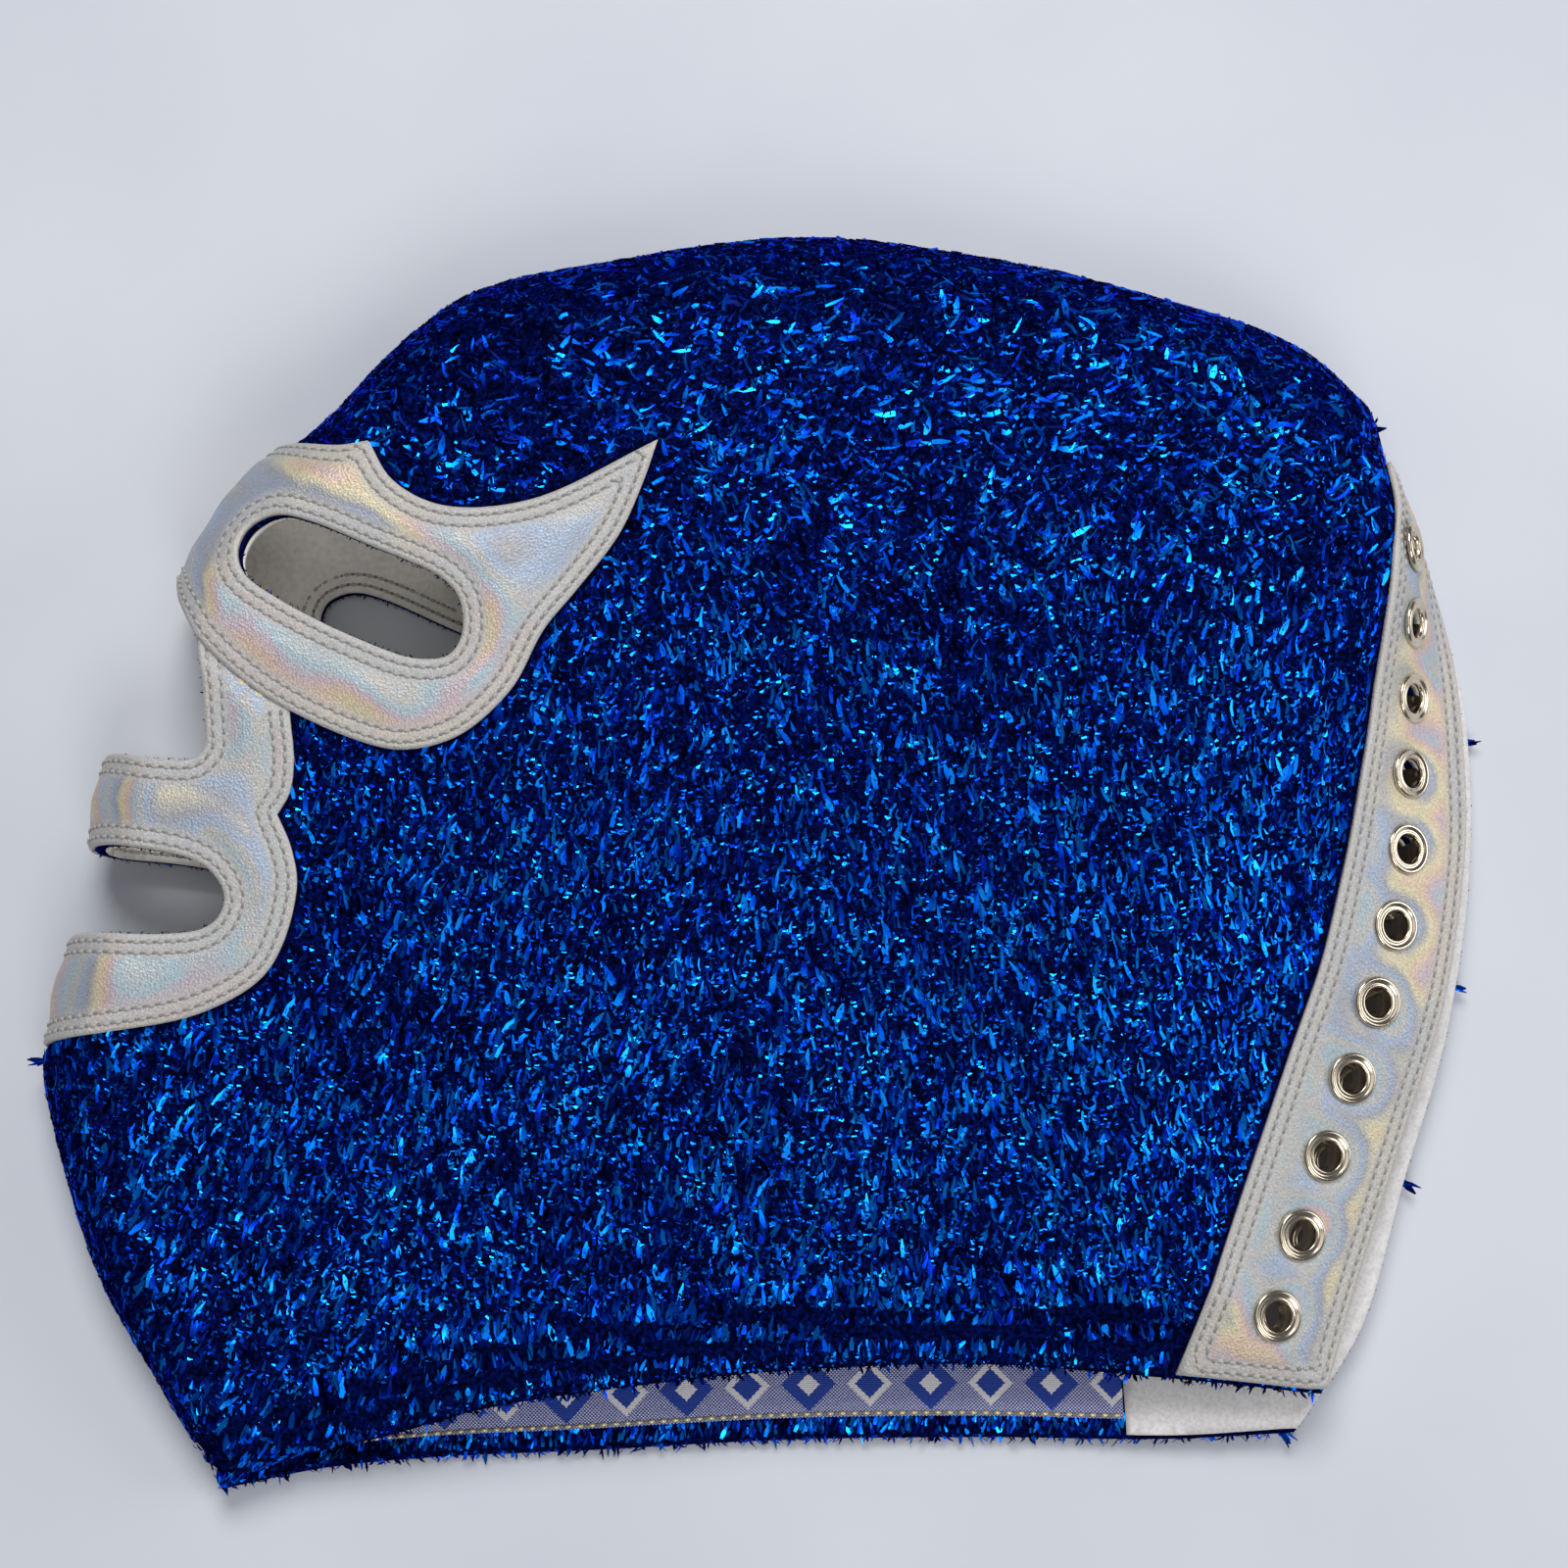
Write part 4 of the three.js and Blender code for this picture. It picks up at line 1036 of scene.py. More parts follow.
def vinylTop(half, sunkBy=None):
    # Height of the vinyl over the face. It sinks under the piece whose outline is sunkBy.
    def top(edge, flat):
        height = trimLook["thick"] - trimLook["edgeDrop"] * np.exp(-edge / 0.5)
        for row in trimLook["rows"]:
            height = height - trimLook["grooveDepth"] * np.exp(-((edge - row) / 0.6) ** 2)
        height = height + trimLook["puff"] * smoothStep(edge, 3.8, 9.0)
        ripple = np.sin(flat[:, 0] * 0.31 + 1.3 * np.sin(flat[:, 1] * 0.17)) * np.sin(flat[:, 1] * 0.23 + 0.7)
        height = height + trimLook["ripple"] * ripple * smoothStep(edge, 3.8, 8.0)
        height = height - 0.75 * np.exp(-((toSeat(half, flat) - 3.6) / 2.6) ** 2)
        if sunkBy is not None:
            sunk = smoothStep(distanceTo(flat, sunkBy, np.roll(sunkBy, -1, axis=0)), 0.3, 3.0)
            height = 0.3 + (height - 0.3) * sunk
        return height
    return top


rowsBeside = (0.7, 1.6, 2.6, 3.6, 4.8, 6.4)


def grown(loop, clearance):
    before, after = np.roll(loop, 1, axis=0), np.roll(loop, -1, axis=0)
    along = after - before
    along /= np.maximum(np.hypot(*along.T), 1e-9)[:, None]
    area = (loop[:, 0] * after[:, 1] - loop[:, 1] * after[:, 0]).sum()
    return loop + np.column_stack([along[:, 1], -along[:, 0]]) * clearance * math.copysign(1, area)


def trimPart(half, name, over=None):
    # over is the outline of the piece sewn on top of this one's edge
    shapes = flatOf[id(half)]
    loops = [shapes[hole] for hole in holeNames] + [shapes[name]]
    opened = openHere(half)
    quiet = None
    if over is not None:
        covered, around = grown(over, -trimLook["tuck"]), grown(over, trimLook["tuck"])
        loops.append(covered)

        def quiet(p):
            return within(p, around)

    def keep(p):
        kept = opened(p) & within(p, shapes[name])
        return kept & ~within(p, covered) if over is not None else kept
    part = cloth(half, loops, keep, trimLook["spacing"], vinylTop(half, over), trimLook["under"], rowsBeside,
                 quiet=quiet)
    part["top"] = vinylTop(half, over)
    return part


eyeParts = [trimPart(half, "eyePatch") for half in (upper, lower)]
mouthParts = [trimPart(half, "mouthPatch", flatOf[id(half)]["eyePatch"]) for half in (upper, lower)]
eyeTrim = makePiece("eye_trim_vinyl", joined(eyeParts), vinylMaterial, weldFold=True)
mouthTrim = makePiece("mouth_trim_vinyl", joined(mouthParts), vinylMaterial, weldFold=True)
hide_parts("eye_trim")
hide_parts("mouth_trim")
print("trims made")


def stripPiece(half, loop, spacing, outside, inside, rows=(), bored=True, trimmed=()):
    loops = [loop] + (boreLoops(half) if bored else []) + list(trimmed)
    clear = offBores(half)

    def keep(p):
        kept = within(p, loop)
        if bored:
            kept &= clear(p)
        for cut in trimmed:
            kept &= ~within(p, cut)
        return kept
    return cloth(half, loops, keep, spacing, outside, inside, rows, weld=False, quiet=onBores(half))


placketParts = []
for half, word in ((upper, "left"), (lower, "right")):
    part = stripPiece(half, backLoop(half, bareWidth(half)), 2.2, vinylTop(half), trimLook["under"],
                      rowsBeside, trimmed=(hemLoop(half, strips["vinylClear"], -12, 0, 15),))
    part["top"] = vinylTop(half)
    placketParts.append(part)
    halo = np.minimum(toSeat(half, part["flat"]), 12.0)
    piece = makePiece(f"placket_vinyl_{word}", part, vinylMaterial, attributes=(("halo", halo),))
    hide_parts(f"placket_{word}")

# Facings behind the eyelets, and linings
insideLook = {"facingOut": -2.2, "facingIn": -3.3, "hemClear": {1: 3.0, -1: 0.7}, "liningSpacing": 3.5,
    "slack": 3.2}
for half, word in ((upper, "left"), (lower, "right")):
    hemCut = hemLoop(half, insideLook["hemClear"][half["sign"]], -12, 0, 15)
    part = stripPiece(half, facedLoop(half), 3.0, insideLook["facingOut"],
                      insideLook["facingIn"], trimmed=(hemCut,))
    piece = makePiece(f"facing_cloth_{word}", part, facingMaterial)
    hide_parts(f"facing_{word}")
    strip = facedLoop(half, strips["gap"])
    hem = hemLoop(half, strips["hemTurn"] + strips["ribbon"] + strips["gap"], -12, 0, 15)
    shapes = flatOf[id(half)]
    opened = openHere(half)

    def keep(p):
        return opened(p) & ~within(p, strip) & ~within(p, hem)

    def slack(edge, flat):
        wave = np.sin(flat @ (0.21, 0.12) + 1.2 * np.sin(flat @ (-0.07, 0.15)))
        return -3.3 - insideLook["slack"] * (0.5 + 0.5 * wave) ** 2 * smoothStep(edge, 3.0, 10.0)
    part = cloth(half, [shapes[hole] for hole in holeNames] + [strip, hem], keep,
                 insideLook["liningSpacing"], lambda edge, flat: slack(edge, flat) + 1.0, slack, shut=True)
    piece = makePiece(f"lining_cloth_{word}", part, liningMaterial)
    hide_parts(f"lining_{word}")
print("facings and linings made")

# Jacquard ribbon along the hem. along and across are millimetres from its front lower corner.
ribbonLook = {
    "blue": srgb(14, 62, 168), "white": srgb(244, 241, 244), "motif": 11.6, "middle": 6.6,
    "big": 5.3, "small": 2.2, "ringOut": 4.4, "ringIn": 2.9,
}


def alongHem(half, flat):
    stations = np.linspace(half["backEnd"], half["spans"], 400)
    psi = half["turnOf"](stations)
    psi[-1] = 2 * math.pi - 1e-6
    line = toFlat(half, np.column_stack([psi, 0 * psi]))
    walked = np.concatenate([[0], np.cumsum(np.hypot(*np.diff(line, axis=0).T))])
    nearest = np.array([((line - p) ** 2).sum(axis=1).argmin() for p in flat])
    k = np.clip(nearest, 1, len(line) - 2)
    way = line[k + 1] - line[k - 1]
    way /= np.hypot(*way.T)[:, None]
    return walked[k] + ((flat - line[k]) * way).sum(axis=1)


ribbonMaterial, tree, shader = newMaterial("ribbon_jacquard")
along = maths(tree, "DIVIDE", attribute(tree, "along"), ribbonLook["motif"])
cell1 = maths(tree, "ROUND", along)
odd = maths(tree, "ABSOLUTE", maths(tree, "MODULO", cell1, 2.0))
offAlong = maths(tree, "MULTIPLY", maths(tree, "ABSOLUTE", maths(tree, "SUBTRACT", along, cell1)),
    ribbonLook["motif"])
offAcross = maths(tree, "ABSOLUTE", maths(tree, "SUBTRACT", attribute(tree, "across"), ribbonLook["middle"]))
rhomb = maths(tree, "ADD", offAlong, offAcross)
saw = maths(tree, "MULTIPLY_ADD", maths(tree, "PINGPONG", offAcross, 0.35), 0.6, rhomb)


def under(tree, value, limit):
    return maths(tree, "LESS_THAN", value, limit)


dotsA = maths(tree, "PINGPONG", maths(tree, "ADD", attribute(tree, "along"), attribute(tree, "across")), 0.34)
dotsB = maths(tree, "PINGPONG", maths(tree, "SUBTRACT", attribute(tree, "along"), attribute(tree,
    "across")), 0.34)
dots = maths(tree, "GREATER_THAN", maths(tree, "MULTIPLY", dotsA, dotsB), 0.026)
ground = maths(tree, "MULTIPLY", dots, 0.85)
blueType = maths(tree, "MULTIPLY", maths(tree, "SUBTRACT", 1.0, under(tree, saw, ribbonLook["big"])), ground)
blueType = maths(tree, "ADD", blueType, under(tree, saw, ribbonLook["small"]))
ring = maths(tree, "SUBTRACT", under(tree, saw, ribbonLook["ringOut"]), under(tree, saw,
    ribbonLook["ringIn"]))
ringType = maths(tree, "MULTIPLY", maths(tree, "SUBTRACT", 1.0, under(tree, saw, ribbonLook["ringOut"])),
    ground)
ringType = maths(tree, "ADD", ringType, ring)
light = treeNode(tree, "ShaderNodeMix", {0: odd, 2: blueType, 3: ringType}, data_type="FLOAT").outputs[0]
color = mixColors(tree, light, ribbonLook["blue"], ribbonLook["white"])
tree.links.new(color, shader.inputs["Base Color"])
setSockets(shader, Roughness=0.5, Metallic=0.1)
thread = maths(tree, "SINE", maths(tree, "MULTIPLY", attribute(tree, "across"), 18.0))
bump = treeNode(tree, "ShaderNodeBump", {"Height": maths(tree, "ADD", thread, light), "Strength": 0.4,
    "Distance": 0.0002})
tree.links.new(bump.outputs["Normal"], shader.inputs["Normal"])
for half, word in ((upper, "left"), (lower, "right")):
    loop = hemLoop(half, strips["hemTurn"] + strips["ribbon"], strips["hemTurn"], 1.2, 0)
    cut = facedLoop(half, strips["gap"])
    part = stripPiece(half, loop, 2.0, -2.2, -3.2, bored=False, trimmed=(cut,))
    piece = makePiece(f"ribbon_jacquard_{word}", part, ribbonMaterial, attributes=(
        ("along", alongHem(half, part["flat"])), ("across", hemWidth(half,
        part["flat"]) - strips["hemTurn"])))
    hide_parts(f"hem_ribbon_{word}")
print("ribbons made")


# Geometry Nodes helpers
def newTree(name, inputs):
    tree = bpy.data.node_groups.new(name, "GeometryNodeTree")
    tree.interface.new_socket("Geometry", in_out="INPUT", socket_type="NodeSocketGeometry")
    for label, kind in inputs:
        tree.interface.new_socket(label, in_out="INPUT", socket_type=f"NodeSocket{kind}")
    tree.interface.new_socket("Geometry", in_out="OUTPUT", socket_type="NodeSocketGeometry")
    return tree, tree.nodes.new("NodeGroupInput").outputs, tree.nodes.new("NodeGroupOutput")


def grow(name, source, tree, values):
    # The tree's result on the source as a plain mesh
    modifier = source.modifiers.new("rows", "NODES")
    modifier.node_group = tree
    for item in tree.interface.items_tree:
        if item.in_out == "INPUT" and item.name in values:
            modifier[item.identifier] = values[item.name]
    bpy.context.view_layer.update()
    shown = source.evaluated_get(bpy.context.evaluated_depsgraph_get())
    mesh = bpy.data.meshes.new_from_object(shown)
    source.modifiers.remove(modifier)
    bpy.data.objects.remove(source)
    mesh.name = name
    obj = bpy.data.objects.new(name, mesh)
    bpy.context.scene.collection.objects.link(obj)
    return obj


def randomVector(tree, low, high, seed):
    node = treeNode(tree, "FunctionNodeRandomValue", {0: low, 1: high, "Seed": seed},
        data_type="FLOAT_VECTOR")
    return node.outputs["Value"]


def randomNumber(tree, low, high, seed):
    node = treeNode(tree, "FunctionNodeRandomValue", {2: low, 3: high, "Seed": seed}, data_type="FLOAT")
    return node.outputs[1]


# Tinsel fibres: a bent flake on each scattered point, along the pile. size is their length and width as a
# share, and Tones are the low and high end of their tone, which the fibre finish turns partly into painted
# glint.
tinselLook = {
    "length": 0.0031, "width": 0.001, "curl": 0.00011, "perSquareMetre": 1.2e6, "far": 0.5e6,
    "lean": (-4.0, 26.0), "roll": 28.0, "turn": 24.0, "tones": (0.0, 1.0), "seed": 7,
}
tinselTree, given, result = newTree("tinsel_rows", [
    ("Density", "Float"), ("Length", "Float"), ("Width", "Float"), ("Curl", "Float"), ("Low", "Vector"),
    ("High", "Vector"), ("Tone Low", "Float"), ("Tone High", "Float"), ("Seed", "Int"), ("Finish",
    "Material")])
scatter = treeNode(tinselTree, "GeometryNodeDistributePointsOnFaces", {
    "Mesh": given["Geometry"], "Density": given["Density"], "Seed": given["Seed"]})
pile = treeNode(tinselTree, "GeometryNodeInputNamedAttribute", {"Name": "pile"}, data_type="FLOAT_VECTOR")
wild = treeNode(tinselTree, "GeometryNodeInputNamedAttribute", {"Name": "wild"}, data_type="FLOAT")
small = treeNode(tinselTree, "GeometryNodeInputNamedAttribute", {"Name": "size"}, data_type="FLOAT")
upright = treeNode(tinselTree, "FunctionNodeAlignRotationToVector", {"Vector": scatter.outputs["Normal"]},
    axis="Z")
combed = treeNode(tinselTree, "FunctionNodeAlignRotationToVector", {
    "Rotation": upright.outputs[0], "Vector": pile.outputs["Attribute"]}, axis="Y", pivot_axis="Z")
anyWay = treeNode(tinselTree, "ShaderNodeCombineXYZ", {
    "Z": maths(tinselTree, "MULTIPLY", wild.outputs["Attribute"], randomNumber(tinselTree, -math.pi,
    math.pi, 5))})
angles = treeNode(tinselTree, "ShaderNodeVectorMath", {
    0: randomVector(tinselTree, given["Low"], given["High"], 3), 1: anyWay.outputs[0]}, operation="ADD")
turned = treeNode(tinselTree, "FunctionNodeEulerToRotation", {"Euler": angles.outputs[0]})
placed = treeNode(tinselTree, "FunctionNodeRotateRotation", {
    "Rotation": combed.outputs[0], "Rotate By": turned.outputs[0]}, rotation_space="LOCAL")
blade = treeNode(tinselTree, "GeometryNodeMeshGrid", {
    "Size X": given["Width"], "Size Y": given["Length"], "Vertices X": 2, "Vertices Y": 3})
where = treeNode(tinselTree, "GeometryNodeInputPosition")
split = treeNode(tinselTree, "ShaderNodeSeparateXYZ", {0: where.outputs[0]})
share = maths(tinselTree, "DIVIDE", split.outputs["Y"], given["Length"])
square = maths(tinselTree, "MULTIPLY", share, share)
lift = maths(tinselTree, "MULTIPLY", maths(tinselTree, "MULTIPLY_ADD", square, -4.0, 1.0), given["Curl"])
slim = maths(tinselTree, "MULTIPLY_ADD", square, -2.0, maths(tinselTree, "MULTIPLY_ADD", share, -0.5, 1.0))
bent = treeNode(tinselTree, "ShaderNodeCombineXYZ", {
    "X": maths(tinselTree, "MULTIPLY", split.outputs["X"], slim),
    "Y": maths(tinselTree, "MULTIPLY_ADD", given["Length"], 0.5, split.outputs["Y"]), "Z": lift})
shaped = treeNode(tinselTree, "GeometryNodeSetPosition", {"Geometry": blade.outputs["Mesh"],
    "Position": bent.outputs[0]})
smooth = treeNode(tinselTree, "GeometryNodeSetShadeSmooth", {"Geometry": shaped.outputs[0]})
sizes = treeNode(tinselTree, "ShaderNodeCombineXYZ", {
    "X": maths(tinselTree, "MULTIPLY", randomNumber(tinselTree, 0.5, 1.4, 11), small.outputs["Attribute"]),
    "Y": maths(tinselTree, "MULTIPLY", randomNumber(tinselTree, 0.5, 1.3, 12), small.outputs["Attribute"]),
    "Z": 1.0})
rows = treeNode(tinselTree, "GeometryNodeInstanceOnPoints", {
    "Points": scatter.outputs["Points"], "Instance": smooth.outputs[0], "Rotation": placed.outputs[0],
    "Scale": sizes.outputs[0]})
toned = treeNode(tinselTree, "GeometryNodeStoreNamedAttribute", {
    "Geometry": rows.outputs[0], "Name": "tone",
    "Value": randomNumber(tinselTree, given["Tone Low"], given["Tone High"], 21)},
    data_type="FLOAT", domain="INSTANCE")
real = treeNode(tinselTree, "GeometryNodeRealizeInstances", {"Geometry": toned.outputs[0]})
painted = treeNode(tinselTree, "GeometryNodeSetMaterial", {"Geometry": real.outputs[0],
    "Material": given["Finish"]})
tinselTree.links.new(painted.outputs[0], result.inputs[0])


def pileAt(place):
    # Way of the pile and how unruly it is
    x, y = place[:, 0] / mask["length"], place[:, 1] / mask["height"]
    slant = np.radians(90 - 34 * smoothStep(-x, 0.12, 0.4) * smoothStep(-y, 0.0,
        0.35) + 8 * np.sin(9 * x + 4 * y))
    wildness = 0.08 + 0.5 * smoothStep(y, 0.12, 0.38)
    return np.column_stack([np.cos(slant), np.sin(slant), 0 * slant]), wildness


def growTinsel(name, verts, faces, way, wildness, size, density, seed, **changes):
    look = {**tinselLook, **changes}
    blank = np.zeros(len(verts))
    source = makePiece("source", {"verts": verts, "faces": faces, "flat": np.zeros((len(verts), 2)),
                                  "edge": blank, "side": blank}, fibreMaterial,
                       attributes=(("pile", way), ("wild", wildness), ("size", size)))
    low, high = look["lean"]
    piece = grow(name, source, tinselTree, {
        "Density": density, "Length": look["length"], "Width": look["width"], "Curl": look["curl"],
        "Low": [math.radians(low), -math.radians(look["roll"]), -math.radians(look["turn"])],
        "High": [math.radians(high), math.radians(look["roll"]), math.radians(look["turn"])],
        "Tone Low": look["tones"][0], "Tone High": look["tones"][1], "Seed": seed, "Finish": fibreMaterial,
    })
    return piece


def tinsel(name, half, keep, loops, offset, density, seed):
    # offset is the height over the face, below it on the cloth's inside
    flat, faces = cutCloth(half, loops, keep, 4.0)
    polar = fromFlat(half, flat)
    place, normal = onFace(half, polar[:, 0], np.maximum(polar[:, 1], 0))
    high = offset(flat) if callable(offset) else np.full(len(flat), offset)
    if (half["sign"] < 0) == np.all(high > -1.5):
        faces = faces[:, ::-1]
    way, wildness = pileAt(place)
    nearRim = 0.62 + 0.38 * smoothStep(polar[:, 1], 1.0, 7.0)
    return growTinsel(name, place + normal * high[:, None], faces, way, wildness, nearRim, density, seed)


# Short tufts along the cut edges of the knit
fringeLook = {
    "perSquareMetre": 1.3e6, "lean": (-10.0, 60.0), "turn": 80.0, "hem": 0.55, "holes": 0.28, "back": 0.22,
    "tones": (0.0, 0.78),
}


def fringe(name, sheet, seed):
    half, n, edges = sheet["half"], sheet["layer"], sheet["sewn"]
    a, b = edges.T
    faces = np.vstack([np.column_stack([a, a + n, b + n]), np.column_stack([a, b + n, b])])
    if half["sign"] < 0:
        faces = faces[:, ::-1]
    used, faces = np.unique(faces, return_inverse=True)
    flat = sheet["flat"][used]
    backLine = rimFlat(half, np.linspace(half["backStart"], half["backEnd"], 160))
    size = np.full(len(used), fringeLook["holes"])
    size[hemWidth(half, flat) < 1] = fringeLook["hem"]
    size[distanceTo(flat, backLine[:-1], backLine[1:]) < 1] = fringeLook["back"]
    return growTinsel(name, sheet["verts"][used], faces.reshape(-1, 3), sheet["faceNormal"][used],
                      np.full(len(used), 0.3), size, fringeLook["perSquareMetre"], seed,
                      lean=fringeLook["lean"], turn=fringeLook["turn"], tones=fringeLook["tones"])


def coverLoops(half):
    # What lies on the knit, so that no fibres stand there
    shapes = flatOf[id(half)]
    return [grown(shapes["eyePatch"], 0.9), grown(shapes["mouthPatch"], 0.9), backLoop(half,
        bareWidth(half, 0.8))]


def bareKnit(half):
    shapes = flatOf[id(half)]
    eye, mouth, strip = coverLoops(half)
    hem = hemLoop(half, strips["vinylClear"] - 0.2, -12, 0, 15)
    grooves = [hemLoop(half, row + 0.4, row - 1.3, 0, 0) for row in shellLook["grooves"]]
    opened = openHere(half)

    def keep(p):
        covered = within(p, eye) | within(p, mouth) | within(p, strip) & ~within(p, hem)
        return opened(p) & ~covered & ~within(p, grooves[0]) & ~within(p, grooves[1])
    return keep, [shapes[hole] for hole in holeNames] + [eye, mouth, strip, hem] + grooves


pileShare = 1.0
keep, loops = bareKnit(upper)
divide = np.array([(0, y) for y in range(-300, 301, 4)] + [(-400, 300), (-400, -300)], float)
for k, (word, inside) in enumerate((("front", True), ("back", False))):
    def part(p, inside=inside):
        return keep(p) & (within(p, divide) == inside)
    tinsel(f"tinsel_left_{word}", upper, part, loops + [divide], lambda flat: hemRipple(upper, flat) - 0.2,
           tinselLook["perSquareMetre"] * pileShare, tinselLook["seed"] + k)
keep, loops = bareKnit(lower)
tinsel("tinsel_right", lower, keep, loops, -0.2, tinselLook["far"] * pileShare, tinselLook["seed"] + 2)
hem = hemLoop(lower, strips["hemTurn"] + 0.4, 0.0, 0, 0)
strip = facedLoop(lower, strips["gap"])
tinsel("tinsel_hem_turn", lower, lambda p: within(p, hem) & ~within(p, strip), [hem, strip], -2.1,
       tinselLook["perSquareMetre"] * 1.2, tinselLook["seed"] + 3)
fringe("tinsel_edges_left", shellSheets[1], tinselLook["seed"] + 4)
fringe("tinsel_edges_right", shellSheets[-1], tinselLook["seed"] + 5)

# Loose tufts at the mask's edges: half and station
strays = [(upper, 3.4), (lower, 17.1), (lower, 19.35), (lower, 20.75), (lower, 22.0), (lower, 24.1)]
verts, outwards = [], []
for half, station in strays:
    psi = half["turnOf"](np.array([station, station + 0.01, station]))
    place, normal = onFace(half, psi, np.zeros(3))
    away = -rimAt(half, [station])["inward"][0]
    verts.append(place[0] - (0, 0, 1.0) + np.array([(0, 0, 0), (0.9 * -away[1], 0.9 * away[0], 0), (0, 0,
        1.2)]))
    outwards.append(np.repeat([(away[0], away[1], 0.4)], 3, axis=0))
verts, outwards = np.vstack(verts), np.vstack(outwards)
faces = np.arange(len(verts)).reshape(-1, 3)
across = np.cross(verts[faces[:, 1]] - verts[faces[:, 0]], verts[faces[:, 2]] - verts[faces[:, 0]])
wrong = (across * outwards[::3]).sum(axis=1) < 0
faces[wrong] = faces[wrong][:, ::-1]
growTinsel("tinsel_strays", verts, faces, np.tile((0.0, 0.0, 1.0), (len(verts), 1)), np.full(len(verts), 0.2),
           np.full(len(verts), 1.0), 9e6, tinselLook["seed"] + 6, lean=(50.0, 120.0), turn=40.0,
               tones=(0.1, 1.0))
print("tinsel made")

# Stitches: a padded thread with a grey dot of painted shade for the needle hole after it
stitchLook = {"pitch": 2.3, "length": 0.0015, "width": 0.00042, "hole": 0.0005}
holeShadeMaterial, tree, shader = newMaterial("needle_hole_shade")
setSockets(shader, Base_Color=(*srgb(142, 139, 135), 1), Roughness=0.9)
stitchTree, given, result = newTree("stitch_rows", [
    ("Length", "Float"), ("Width", "Float"), ("Hole", "Float"), ("Pitch", "Float"), ("Thread", "Material"),
    ("Hole Shade", "Material")])
normalHere = treeNode(stitchTree, "GeometryNodeInputNamedAttribute", {"Name": "outward"},
    data_type="FLOAT_VECTOR")
wayHere = treeNode(stitchTree, "GeometryNodeInputNamedAttribute", {"Name": "way"}, data_type="FLOAT_VECTOR")
upright = treeNode(stitchTree, "FunctionNodeAlignRotationToVector", {
    "Vector": normalHere.outputs["Attribute"]}, axis="Z")
combed = treeNode(stitchTree, "FunctionNodeAlignRotationToVector", {
    "Rotation": upright.outputs[0], "Vector": wayHere.outputs["Attribute"]}, axis="X", pivot_axis="Z")
ball = treeNode(stitchTree, "GeometryNodeMeshUVSphere", {"Segments": 8, "Rings": 5, "Radius": 1.0})
body = treeNode(stitchTree, "GeometryNodeTransform", {
    "Geometry": ball.outputs["Mesh"],
    "Scale": treeNode(stitchTree, "ShaderNodeCombineXYZ", {
        "X": maths(stitchTree, "MULTIPLY", given["Length"], 0.5), "Y": given["Width"],
        "Z": given["Width"]}).outputs[0]})
body = treeNode(stitchTree, "GeometryNodeSetMaterial", {"Geometry": body.outputs[0],
    "Material": given["Thread"]})
# Painted shade: a flattened grey dot where the needle hole's shadow lies
holeShadeDot = treeNode(stitchTree, "GeometryNodeMeshUVSphere", {"Segments": 6, "Rings": 4, "Radius": given["Hole"]})
holeShadeDot = treeNode(stitchTree, "GeometryNodeTransform", {
    "Geometry": holeShadeDot.outputs["Mesh"],
    "Translation": treeNode(stitchTree, "ShaderNodeCombineXYZ", {
        "X": maths(stitchTree, "MULTIPLY", given["Pitch"], 0.5)}).outputs[0], "Scale": (1.1, 0.75, 0.34)})
holeShadeDot = treeNode(stitchTree, "GeometryNodeSetMaterial", {"Geometry": holeShadeDot.outputs[0], "Material": given["Hole Shade"]})
both = treeNode(stitchTree, "GeometryNodeJoinGeometry")
stitchTree.links.new(body.outputs[0], both.inputs[0])
stitchTree.links.new(holeShadeDot.outputs[0], both.inputs[0])
smooth = treeNode(stitchTree, "GeometryNodeSetShadeSmooth", {"Geometry": both.outputs[0]})
rows = treeNode(stitchTree, "GeometryNodeInstanceOnPoints", {
    "Points": given["Geometry"], "Instance": smooth.outputs[0], "Rotation": combed.outputs[0]})
real = treeNode(stitchTree, "GeometryNodeRealizeInstances", {"Geometry": rows.outputs[0]})
stitchTree.links.new(real.outputs[0], result.inputs[0])


def stitchPoints(part, height):
    # Places, outward ways and ways along the rows beside a sheet's own edges
    half, flat, border = part["half"], part["flat"][:part["layer"]], part["sewn"]
    places, outward, ways = [], [], []
    for chain in chainsOf(border):
        line = flat[chain]
        for row in trimLook["rows"]:
            dots = insetLine(line, row, border, flat, stitchLook["pitch"])
            if len(dots) < 2:
                continue
            edge = np.full(len(dots), row)
            polar = fromFlat(half, dots)
            place, normal = onFace(half, polar[:, 0], np.maximum(polar[:, 1], 0))
            offset = height(edge, dots)
            place = place + normal * offset[:, None]
            places.append(place)
            outward.append(normal)
            ways.append(np.gradient(place, axis=0))
    return places, outward, ways


def stitches(name, parts, height=None):
    places, outward, ways = [], [], []
    for part in parts:
        found = stitchPoints(part, height or part["top"])
        for store, more in zip((places, outward, ways), found):
            store += more
    return stitchRows(name, places, outward, ways, threadMaterial)


def stitchRows(name, places, outward, ways, thread):
    mesh = bpy.data.meshes.new("points")
    mesh.from_pydata([tuple(p) for p in (np.vstack(places) + shift) * 0.001], [], [])
    for key, data in (("outward", np.vstack(outward)), ("way", np.vstack(ways))):
        layer = mesh.attributes.new(key, "FLOAT_VECTOR", "POINT")
        layer.data.foreach_set("vector", data.astype(np.float32).ravel())
    source = bpy.data.objects.new("points", mesh)
    bpy.context.scene.collection.objects.link(source)
    piece = grow(name, source, stitchTree, {
        "Length": stitchLook["length"], "Width": stitchLook["width"], "Hole": stitchLook["hole"],
        "Pitch": stitchLook["pitch"] * 0.001, "Thread": thread, "Hole Shade": holeShadeMaterial})
    return piece


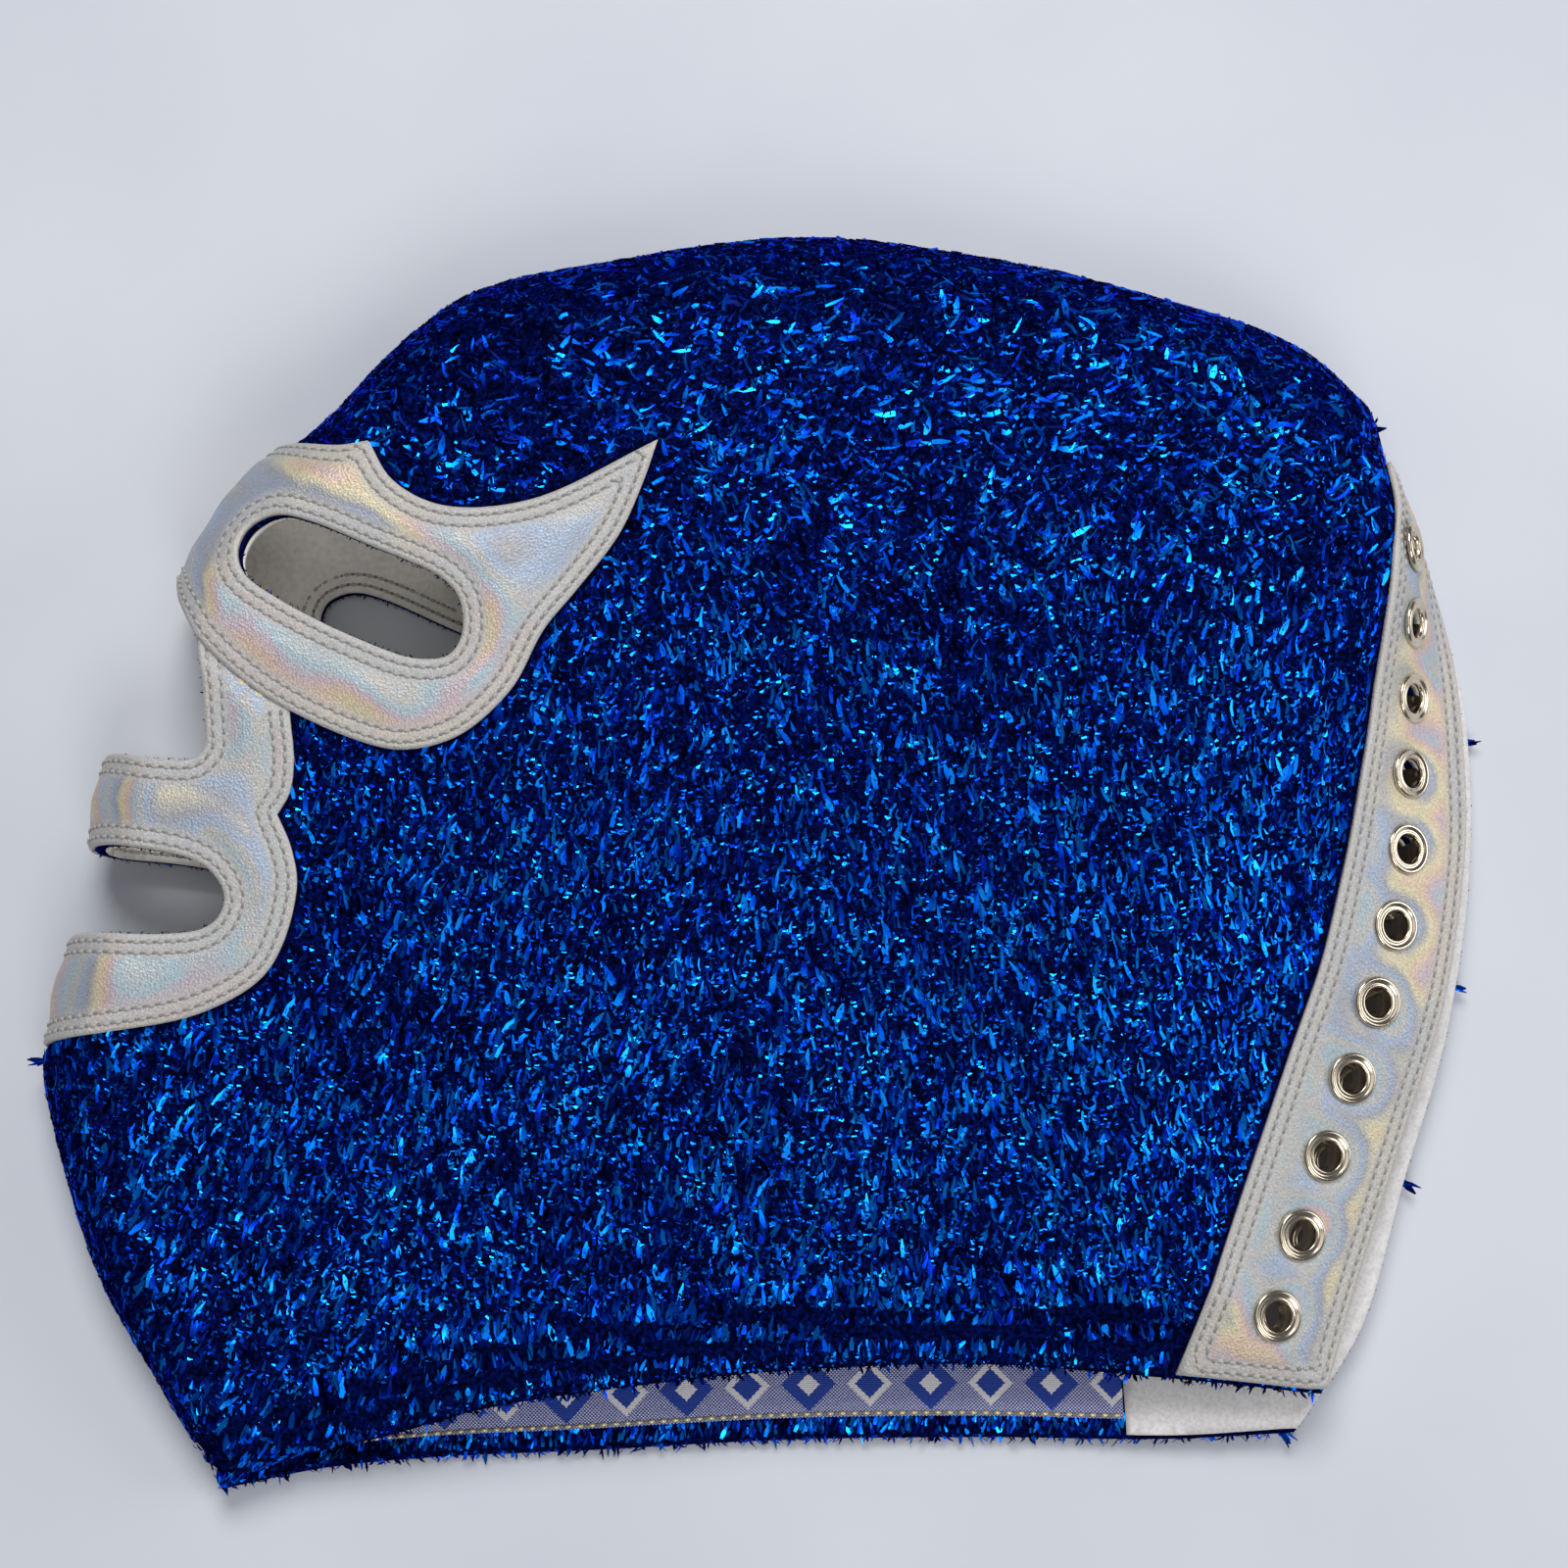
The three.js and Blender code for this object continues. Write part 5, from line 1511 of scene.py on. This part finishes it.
stitches("stitches_eye_trim", eyeParts)
stitches("stitches_mouth_trim", mouthParts)
for part, word in zip(placketParts, ("left", "right")):
    stitches(f"stitches_placket_{word}", [part])
stitches("stitches_lining", [eyeParts[1], mouthParts[1]],
         height=lambda edge, dots: np.full(len(dots), -3.3))
goldMaterial, tree, shader = newMaterial("thread_gold")
setSockets(shader, Base_Color=(*srgb(236, 222, 170), 1), Roughness=0.3, Metallic=0.4)
for half, word in ((upper, "left"), (lower, "right")):
    line = besideRim(half, np.linspace(half["backEnd"] + 0.1, half["spans"] - 0.1, 300),
        strips["hemTurn"] + 0.7)
    line = line[~within(line, facedLoop(half))]
    line = resample(line, stitchLook["pitch"])
    polar = fromFlat(half, line)
    place, normal = onFace(half, polar[:, 0], np.maximum(polar[:, 1], 0))
    place = place - normal * 3.35
    stitchRows(f"stitches_ribbon_{word}", [place], [normal], [np.gradient(place, axis=0)],
               goldMaterial)
print("stitches made")

for obj in list(bpy.context.scene.objects):
    if obj.type == "MESH" and obj.name not in frame["nodes"] and obj.parent is None:
        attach(obj, "root")

# Every sheet: how many halves its laid-out size stands for, what it lies on and what goes with it
sheets = {
    "knit_left": (1, ["knit_right"], ["tinsel_left_front", "tinsel_left_back", "tinsel_edges_left"]),
    "knit_right": (1, [], ["tinsel_right", "tinsel_hem_turn", "tinsel_edges_right", "tinsel_strays"]),
    "eye_trim_vinyl": (2, ["knit_left", "knit_right"], ["stitches_eye_trim"]),
    "mouth_trim_vinyl": (2, ["knit_left", "knit_right"], ["stitches_mouth_trim"]),
    "placket_vinyl_left": (1, ["knit_left"], ["stitches_placket_left"]),
    "placket_vinyl_right": (1, ["knit_right"], ["stitches_placket_right"]),
    "facing_cloth_left": (1, ["knit_left"], []),
    "facing_cloth_right": (1, ["knit_right"], []),
    "lining_cloth_left": (1, ["knit_left"], []),
    "lining_cloth_right": (1, ["knit_right"], ["stitches_lining"]),
    "ribbon_jacquard_left": (1, ["knit_left"], ["stitches_ribbon_left"]),
    "ribbon_jacquard_right": (1, ["knit_right"], ["stitches_ribbon_right"]),
}
for name, (halves, under, others) in sheets.items():
    piece = bpy.data.objects[name]
    laid = np.zeros(len(piece.data.loops) * 2, np.float32)
    piece.data.uv_layers["flat"].data.foreach_get("uv", laid)
    width, length = np.ptp(laid.reshape(-1, 2), axis=0).astype(float) * (0.1 * halves, 0.1)
    area = sum(face.area for face in piece.data.polygons) / 2
    if name.startswith("ribbon"):
        width, length, area = strips["ribbon"] * 0.001, area / (strips["ribbon"] * 0.001), None
    print(name, "is cut from", round(width, 3), "by", round(length, 3), "m, area", area and round(area, 5))

# Floor, light and camera
floorLook = {"color": srgb(222, 225, 232), "patch": srgb(212, 216, 225), "size": 4.0}
bpy.ops.mesh.primitive_plane_add(size=floorLook["size"], location=(0, 0, 0))
floor = bpy.context.object
floor.name = "floor"
floorMaterial, tree, shader = newMaterial("floor_pale")
coords = treeNode(tree, "ShaderNodeTexCoord").outputs["Object"]
cloud = treeNode(tree, "ShaderNodeTexNoise", {"Vector": coords, "Scale": 7.0, "Detail": 4.0})
tree.links.new(ramp(tree, cloud.outputs["Fac"], [(0.35, floorLook["patch"]), (0.65, floorLook["color"])]),
               shader.inputs["Base Color"])
setSockets(shader, Roughness=0.7)
floor.data.materials.append(floorMaterial)

lightLook = {
    "world": (0.80, 0.86, 1.0), "worldStrength": 0.12,
    "lamps": [
        ("key", (-0.05, 0.78, 1.2), 0.7, 11.5), ("top", (0.1, -0.1, 1.7), 1.2, 3.0),
        ("front", (0.25, -0.95, 1.15), 0.7, 5.5), ("right", (1.3, 0.1, 0.55), 0.8, 5.0),
    ],
}
world = bpy.data.worlds.new("studio")
world.use_nodes = True
world.node_tree.nodes["Background"].inputs["Color"].default_value = (*lightLook["world"], 1)
world.node_tree.nodes["Background"].inputs["Strength"].default_value = lightLook["worldStrength"]
bpy.context.scene.world = world
for name, place, size, power in lightLook["lamps"]:
    data = bpy.data.lights.new(name, "AREA")
    data.shape, data.size, data.energy = "DISK", size, power
    lamp = bpy.data.objects.new(name, data)
    lamp.location = place
    lamp.rotation_euler = (-Vector(place)).to_track_quat("-Z", "Y").to_euler()
    bpy.context.scene.collection.objects.link(lamp)

# Camera, aimed in millimetres
cameraLook = {"target": (5.3, 16.2, 22.0), "tilt": 10.0, "distance": 560.0, "pixels": 5.3}
tilt = math.radians(cameraLook["tilt"])
back = np.array([0, -math.sin(tilt), math.cos(tilt)])
place = (np.array(cameraLook["target"]) + shift + back * cameraLook["distance"]) * 0.001
data = bpy.data.cameras.new("camera")
data.sensor_width = 36.0
data.lens = 36.0 * cameraLook["pixels"] * cameraLook["distance"] / 1600
data.clip_start, data.clip_end = 0.01, 20
camera = bpy.data.objects.new("camera", data)
camera.location = Vector(place)
camera.rotation_euler = Vector(back).to_track_quat("Z", "Y").to_euler()
bpy.context.scene.collection.objects.link(camera)
bpy.context.scene.camera = camera
bpy.context.scene.view_settings.view_transform = "Standard"

print("scene ready")
